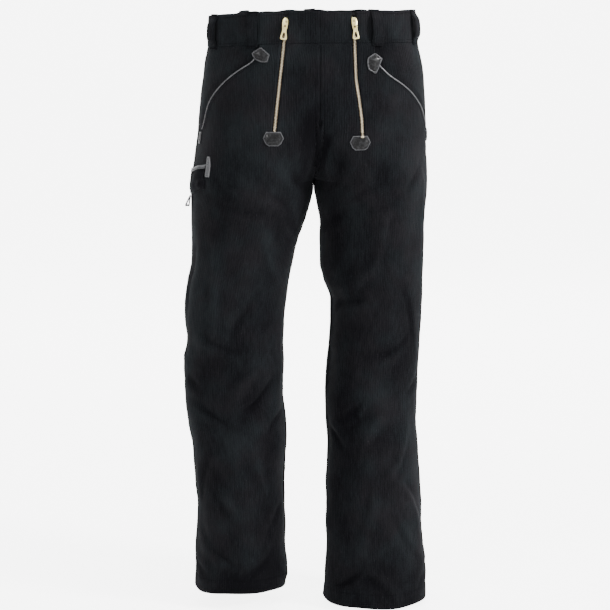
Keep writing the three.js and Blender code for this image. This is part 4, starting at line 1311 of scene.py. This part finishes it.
def edge_distance(rows, u, v):
    """Least distance from points of the flat patch to the lines of its outline."""
    ring = ring_of(rows)
    best = np.full(u.shape, 1e9)
    for a, b in zip(ring, np.roll(ring, -1, axis=0)):
        span = b - a
        size = (span**2).sum()
        if size < 1e-6:
            continue
        t = np.clip(((u - a[0]) * span[0] + (v - a[1]) * span[1]) / size, 0, 1)
        best = np.minimum(best, np.hypot(u - a[0] - t * span[0], v - a[1] - t * span[1]))
    return best


def leather_patch(name, side, spec, node, lift, dome, steps=(30, 26), hide=None):
    """Domed leaf of leather whose rim rounds down to the cloth, stitched inside its rim.
    Gives its stitches."""
    at, level, rows = spec
    centre = at if callable(at) else lambda z: np.full(z.shape, float(at))
    up, left, right = outline_of(rows, steps[0])
    t = np.linspace(0, 1, steps[1])
    t = t - 0.12 * np.sin(2 * math.pi * t)
    u = left[:, None] + (right - left)[:, None] * t[None, :]
    v = np.broadcast_to(up[:, None], u.shape)
    gap = edge_distance(rows, u, v)
    rim = np.sqrt(np.clip(1 - (1 - np.clip(gap / 1.1, 0, 1)) ** 2, 0, 1))
    groove = -0.5 * np.exp(-(((gap - 2.9) / 0.8) ** 2))
    face = step(2, 5, gap)
    wrinkle = 0.22 * np.sin(u / 2.3 + v / 3.9 + side) * np.sin(v / 2.7 - u / 5.1) * face
    height = lift + LEATHER * rim + groove + wrinkle + dome * step(2.8, 9, gap)
    # Painted light and shade: the rim lighter, partly edge wear and partly a painted highlight
    # where it catches the light; wrinkle crests lighter and the face darker.
    light_and_shade = 0.75 * np.exp(-(((gap - 1.0) / 0.9) ** 2)) + 0.16 * wrinkle - 0.1 * face

    def on_leg(u, v):
        """Degrees and height of points of the flat patch."""
        z = level + v
        return centre(z) + u / per_degree(side, centre(z), z), z

    points = lifted(side, *on_leg(u, v), height)
    faces = [grid_faces(*u.shape, flip=side < 0)]
    obj = thick(make(name, points, faces, hide or HIDE, light_and_shade=light_and_shade), 0.5)
    place(obj, "trousers", "leather", node)
    ring = ring_of(rows)
    middle = ring.mean(axis=0)
    ring = np.concatenate([ring, ring[:1]])
    run = arc_of(ring)
    s = np.linspace(0, run[-1], 160)
    line = np.stack([np.interp(s, run, ring[:, k]) for k in (0, 1)], -1) - middle
    far = np.hypot(line[:, 0], line[:, 1])
    line = middle + line * np.clip(1 - 3.0 / np.maximum(far, 3.8), 0.2, 1)[:, None]
    path, out = seam_path(side, *on_leg(line[:, 0], line[:, 1]), lift + LEATHER - 0.45)
    return [stitches(path, out, *PATCH_STITCH)]


# ---------------------------------------------------------------- pocket for a folding rule
# Degrees of its two edges, heights of its cloth at the inner edge, how far it stands off,
# how far its inner edge steps inward below the strip, slope of its levels in mm a degree up
# to a degree, and heights of the binding.
RULE_FROM, RULE_TO, RULE_TOP, RULE_FOOT, RULE_STAND = 145.9, 181.0, -246.5, -284.5, 6.4
RULE_STEP, RULE_SLOPE, SLOPE_END = 3.1, 0.56, 168
BINDING_TOP, BINDING_FOOT = -239.5, -246.1


def rule_grid(levels, share, extra):
    """Bulging wall: it stands off the leg in the middle and meets it at sides and foot.

    Its inner edge steps inward below the strip, and its levels slope down to the outside.
    """
    u = 0.5 - 0.5 * np.cos(math.pi * np.linspace(0, 1, 40))[None, :]
    start = RULE_FROM - RULE_STEP * step(-263, -270.5, levels[:, None])
    deg = start + (RULE_TO - start) * u
    z = levels[:, None] - RULE_SLOPE * (np.minimum(deg, SLOPE_END) - RULE_FROM)
    sides = step(0, 0.17, u) * step(0, 0.5, 1 - u)
    lift = 0.5 + RULE_STAND * sides * step(0, 0.26, share[:, None]) + extra
    return deg, z, lift


def rule_piece(name, levels, share, extra, change, material, depth, slot, node):
    """Sheet over the rule's pocket, its lift changed by a function of degrees and height."""
    deg, z, lift = rule_grid(levels, share, extra)
    points = lifted(-1, deg, z, lift + change(deg, z))
    uv = arc_uv(points, deg, z, 165.0) if slot == "corduroy" else None
    obj = thick(make(name, points, [grid_faces(*deg.shape, flip=True)], material, uv), depth)
    place(obj, "trousers", slot, node)
    return obj


def ruler_pocket():
    """Cloth pocket with the leather binding on its upper edge. Gives its stitches."""
    levels = np.linspace(RULE_TOP, RULE_FOOT, 40)
    share = (levels - RULE_FOOT) / (RULE_TOP - RULE_FOOT)
    low = step(0, 0.3, share)[:, None]
    obj = rule_piece(
        "rule_pocket_cloth", levels, share, CLOTH,
        lambda deg, z: 0.5 * np.sin(deg * 0.6 + z * 0.11) * low,
        CORDUROY, CLOTH, "corduroy", "ruler_pocket")
    levels = np.linspace(BINDING_TOP, BINDING_FOOT, 12)
    rim = np.minimum(levels - BINDING_FOOT, BINDING_TOP - levels)
    rolled = -1.0 * np.exp(-((rim / 1.2) ** 2))[:, None]
    rule_piece("rule_pocket_band", levels, np.ones(12), 2.2, lambda deg, z: rolled,
               PIPING, 2.4, "leather", "ruler_pocket_binding")
    threads = []
    for level, extra in ((-244.6, 2.1), (-249.6, CLOTH + 0.05)):
        deg, z, lift = rule_grid(np.array([level]), np.ones(1), extra)
        path = lifted(-1, deg[0], z[0], lift[0])
        threads.append(stitches(path, outward(-1, deg[0], z[0]), *RULE_STITCH))
    return threads


# ---------------------------------------------------------------- stitch rows
def seam_rows(side):
    """Stitch rows at distances from the side seam, fly, inseam and seat seam, beside the
    zip, round the hem and along the pocket mouth, each with its own lift."""
    foot = HEM[side] + 2
    leg = np.linspace(-30, foot, 560)
    middle = np.linspace(-30, -262, 150)
    inseam = np.linspace(-280, foot, 420)
    beside = np.linspace(-30, ZIP_END + 4, 120)
    turn = np.linspace(8, 366, 700)
    mouth = np.linspace(-32, -178, 120)
    seam = np.full(leg.shape, SIDE_SEAM)
    lines = [(seam, leg, 2.4, 0.45), (seam, leg, 8.0, 0.2)]
    if side > 0:
        fly = front_inner(side, middle)
        lines += [(fly, middle, 2.4, 0.45), (fly, middle, 7.5, 0.2)]
    lines.append((front_inner(side, inseam), inseam, 2.4, 0.45))
    if side > 0:
        seat = back_inner(side, middle)
        lines += [(seat, middle, -2.4, 0.45), (seat, middle, -7.5, 0.2)]
    for gap in (-9.0, 9.0):
        off = along(ZIP[side], beside) + gap
        lines.append((degrees_at(side, off, beside, 50.0), beside, 0.0, 0.25))
    lines.append((turn, np.full(turn.shape, HEM[side] + HEM_LINE), 0.0, -0.25))
    lip = along(MOUTH[side], mouth)
    lines += [(lip, mouth, -3.2, 0.45), (lip, mouth, -8.2, 0.15)]
    rows = []
    for deg, z, gap, lift in lines:
        shifted = deg + gap / per_degree(side, deg, z)
        rows.append(stitches(*seam_path(side, shifted, z, lift), *STITCH))
    return rows


def band_rows(side):
    """Stitch rows near both rims of the band, left out where the zip crosses it."""
    front = centre_front(side)
    rows = []
    for level in BAND_LINES:
        z = np.full(500, level)
        a, b = front(z) + 1.0, 359 - front(z)
        path, up = seam_path(side, a + (b - a) * np.linspace(0, 1, len(z)), z, 0.3)
        off = np.abs(path[:, 0] * side - along(ZIP[side], z)) > 4.5
        crossing = (path[:, 1] < 0) & ~off
        start = np.argmax(crossing)
        end = start + np.argmax(~crossing[start:])
        rows.append(stitches(path[:start], up[:start], *STITCH))
        rows.append(stitches(path[end:], up[end:], *STITCH))
    return rows


def half(side):
    """All pieces of one side but its belt loops. Gives their stitches."""
    tag = TAG[side]
    front_panel(side)
    back_panel(side)
    pocket_facing(side)
    pocket_piping(side)
    waistband(side)
    zip_parts(side)
    refined(f"zip_slider_{tag}", f"slider_{tag}", BRASS[side], "trousers", "brass", 0.35)
    refined(f"pull_tab_{tag}", f"tab_{tag}", BRASS[side], f"tab_{tag}", "brass", 0.3)
    reach, level = ZIP_FOOT[side]
    foot = (lambda z: degrees_at(side, reach, z), level, ZIP_PATCH)
    rows = []
    # Name, place and outline, CAD node, clearance to the cloth, height of the dome.
    for name, spec, node, lift, dome in (
        ("zip_foot", foot, "zip_patch", 0.6, 1.3),
        ("pocket_corner", POCKET_PATCH[side], "pocket_patch", 0.9, 1.5),
        ("mouth_end", END_PATCH[side], "pocket_end", 0.6, 0.3),
    ):
        rows += leather_patch(f"{name}_{tag}", side, spec, f"{node}_{tag}", lift, dome)
    return rows + seam_rows(side) + band_rows(side)


def main():
    """Stage, both halves, belt loops, the rule's pocket, then the thread of each side."""
    camera()
    studio()
    floor()
    threads = {side: half(side) for side in (-1, 1)}
    for side, deg, stand, name in LOOPS:
        threads[side] += belt_loop(side, deg, stand, name)
    threads[-1] += ruler_pocket()
    threads[-1] += leather_patch("rule_pocket_strip", -1, STRIP_PATCH, "ruler_pocket_strip",
                                 0.5, 0.2, (26, 14), PIPING)
    refined("ruler_pocket_loop", "rule_pocket_loop", PIPING, "trousers", "leather", 0.4)
    for side in (-1, 1):
        obj = make(f"thread_{TAG[side]}", *merged(threads[side]), THREAD)
        place(obj, "trousers", "corduroy")


main()
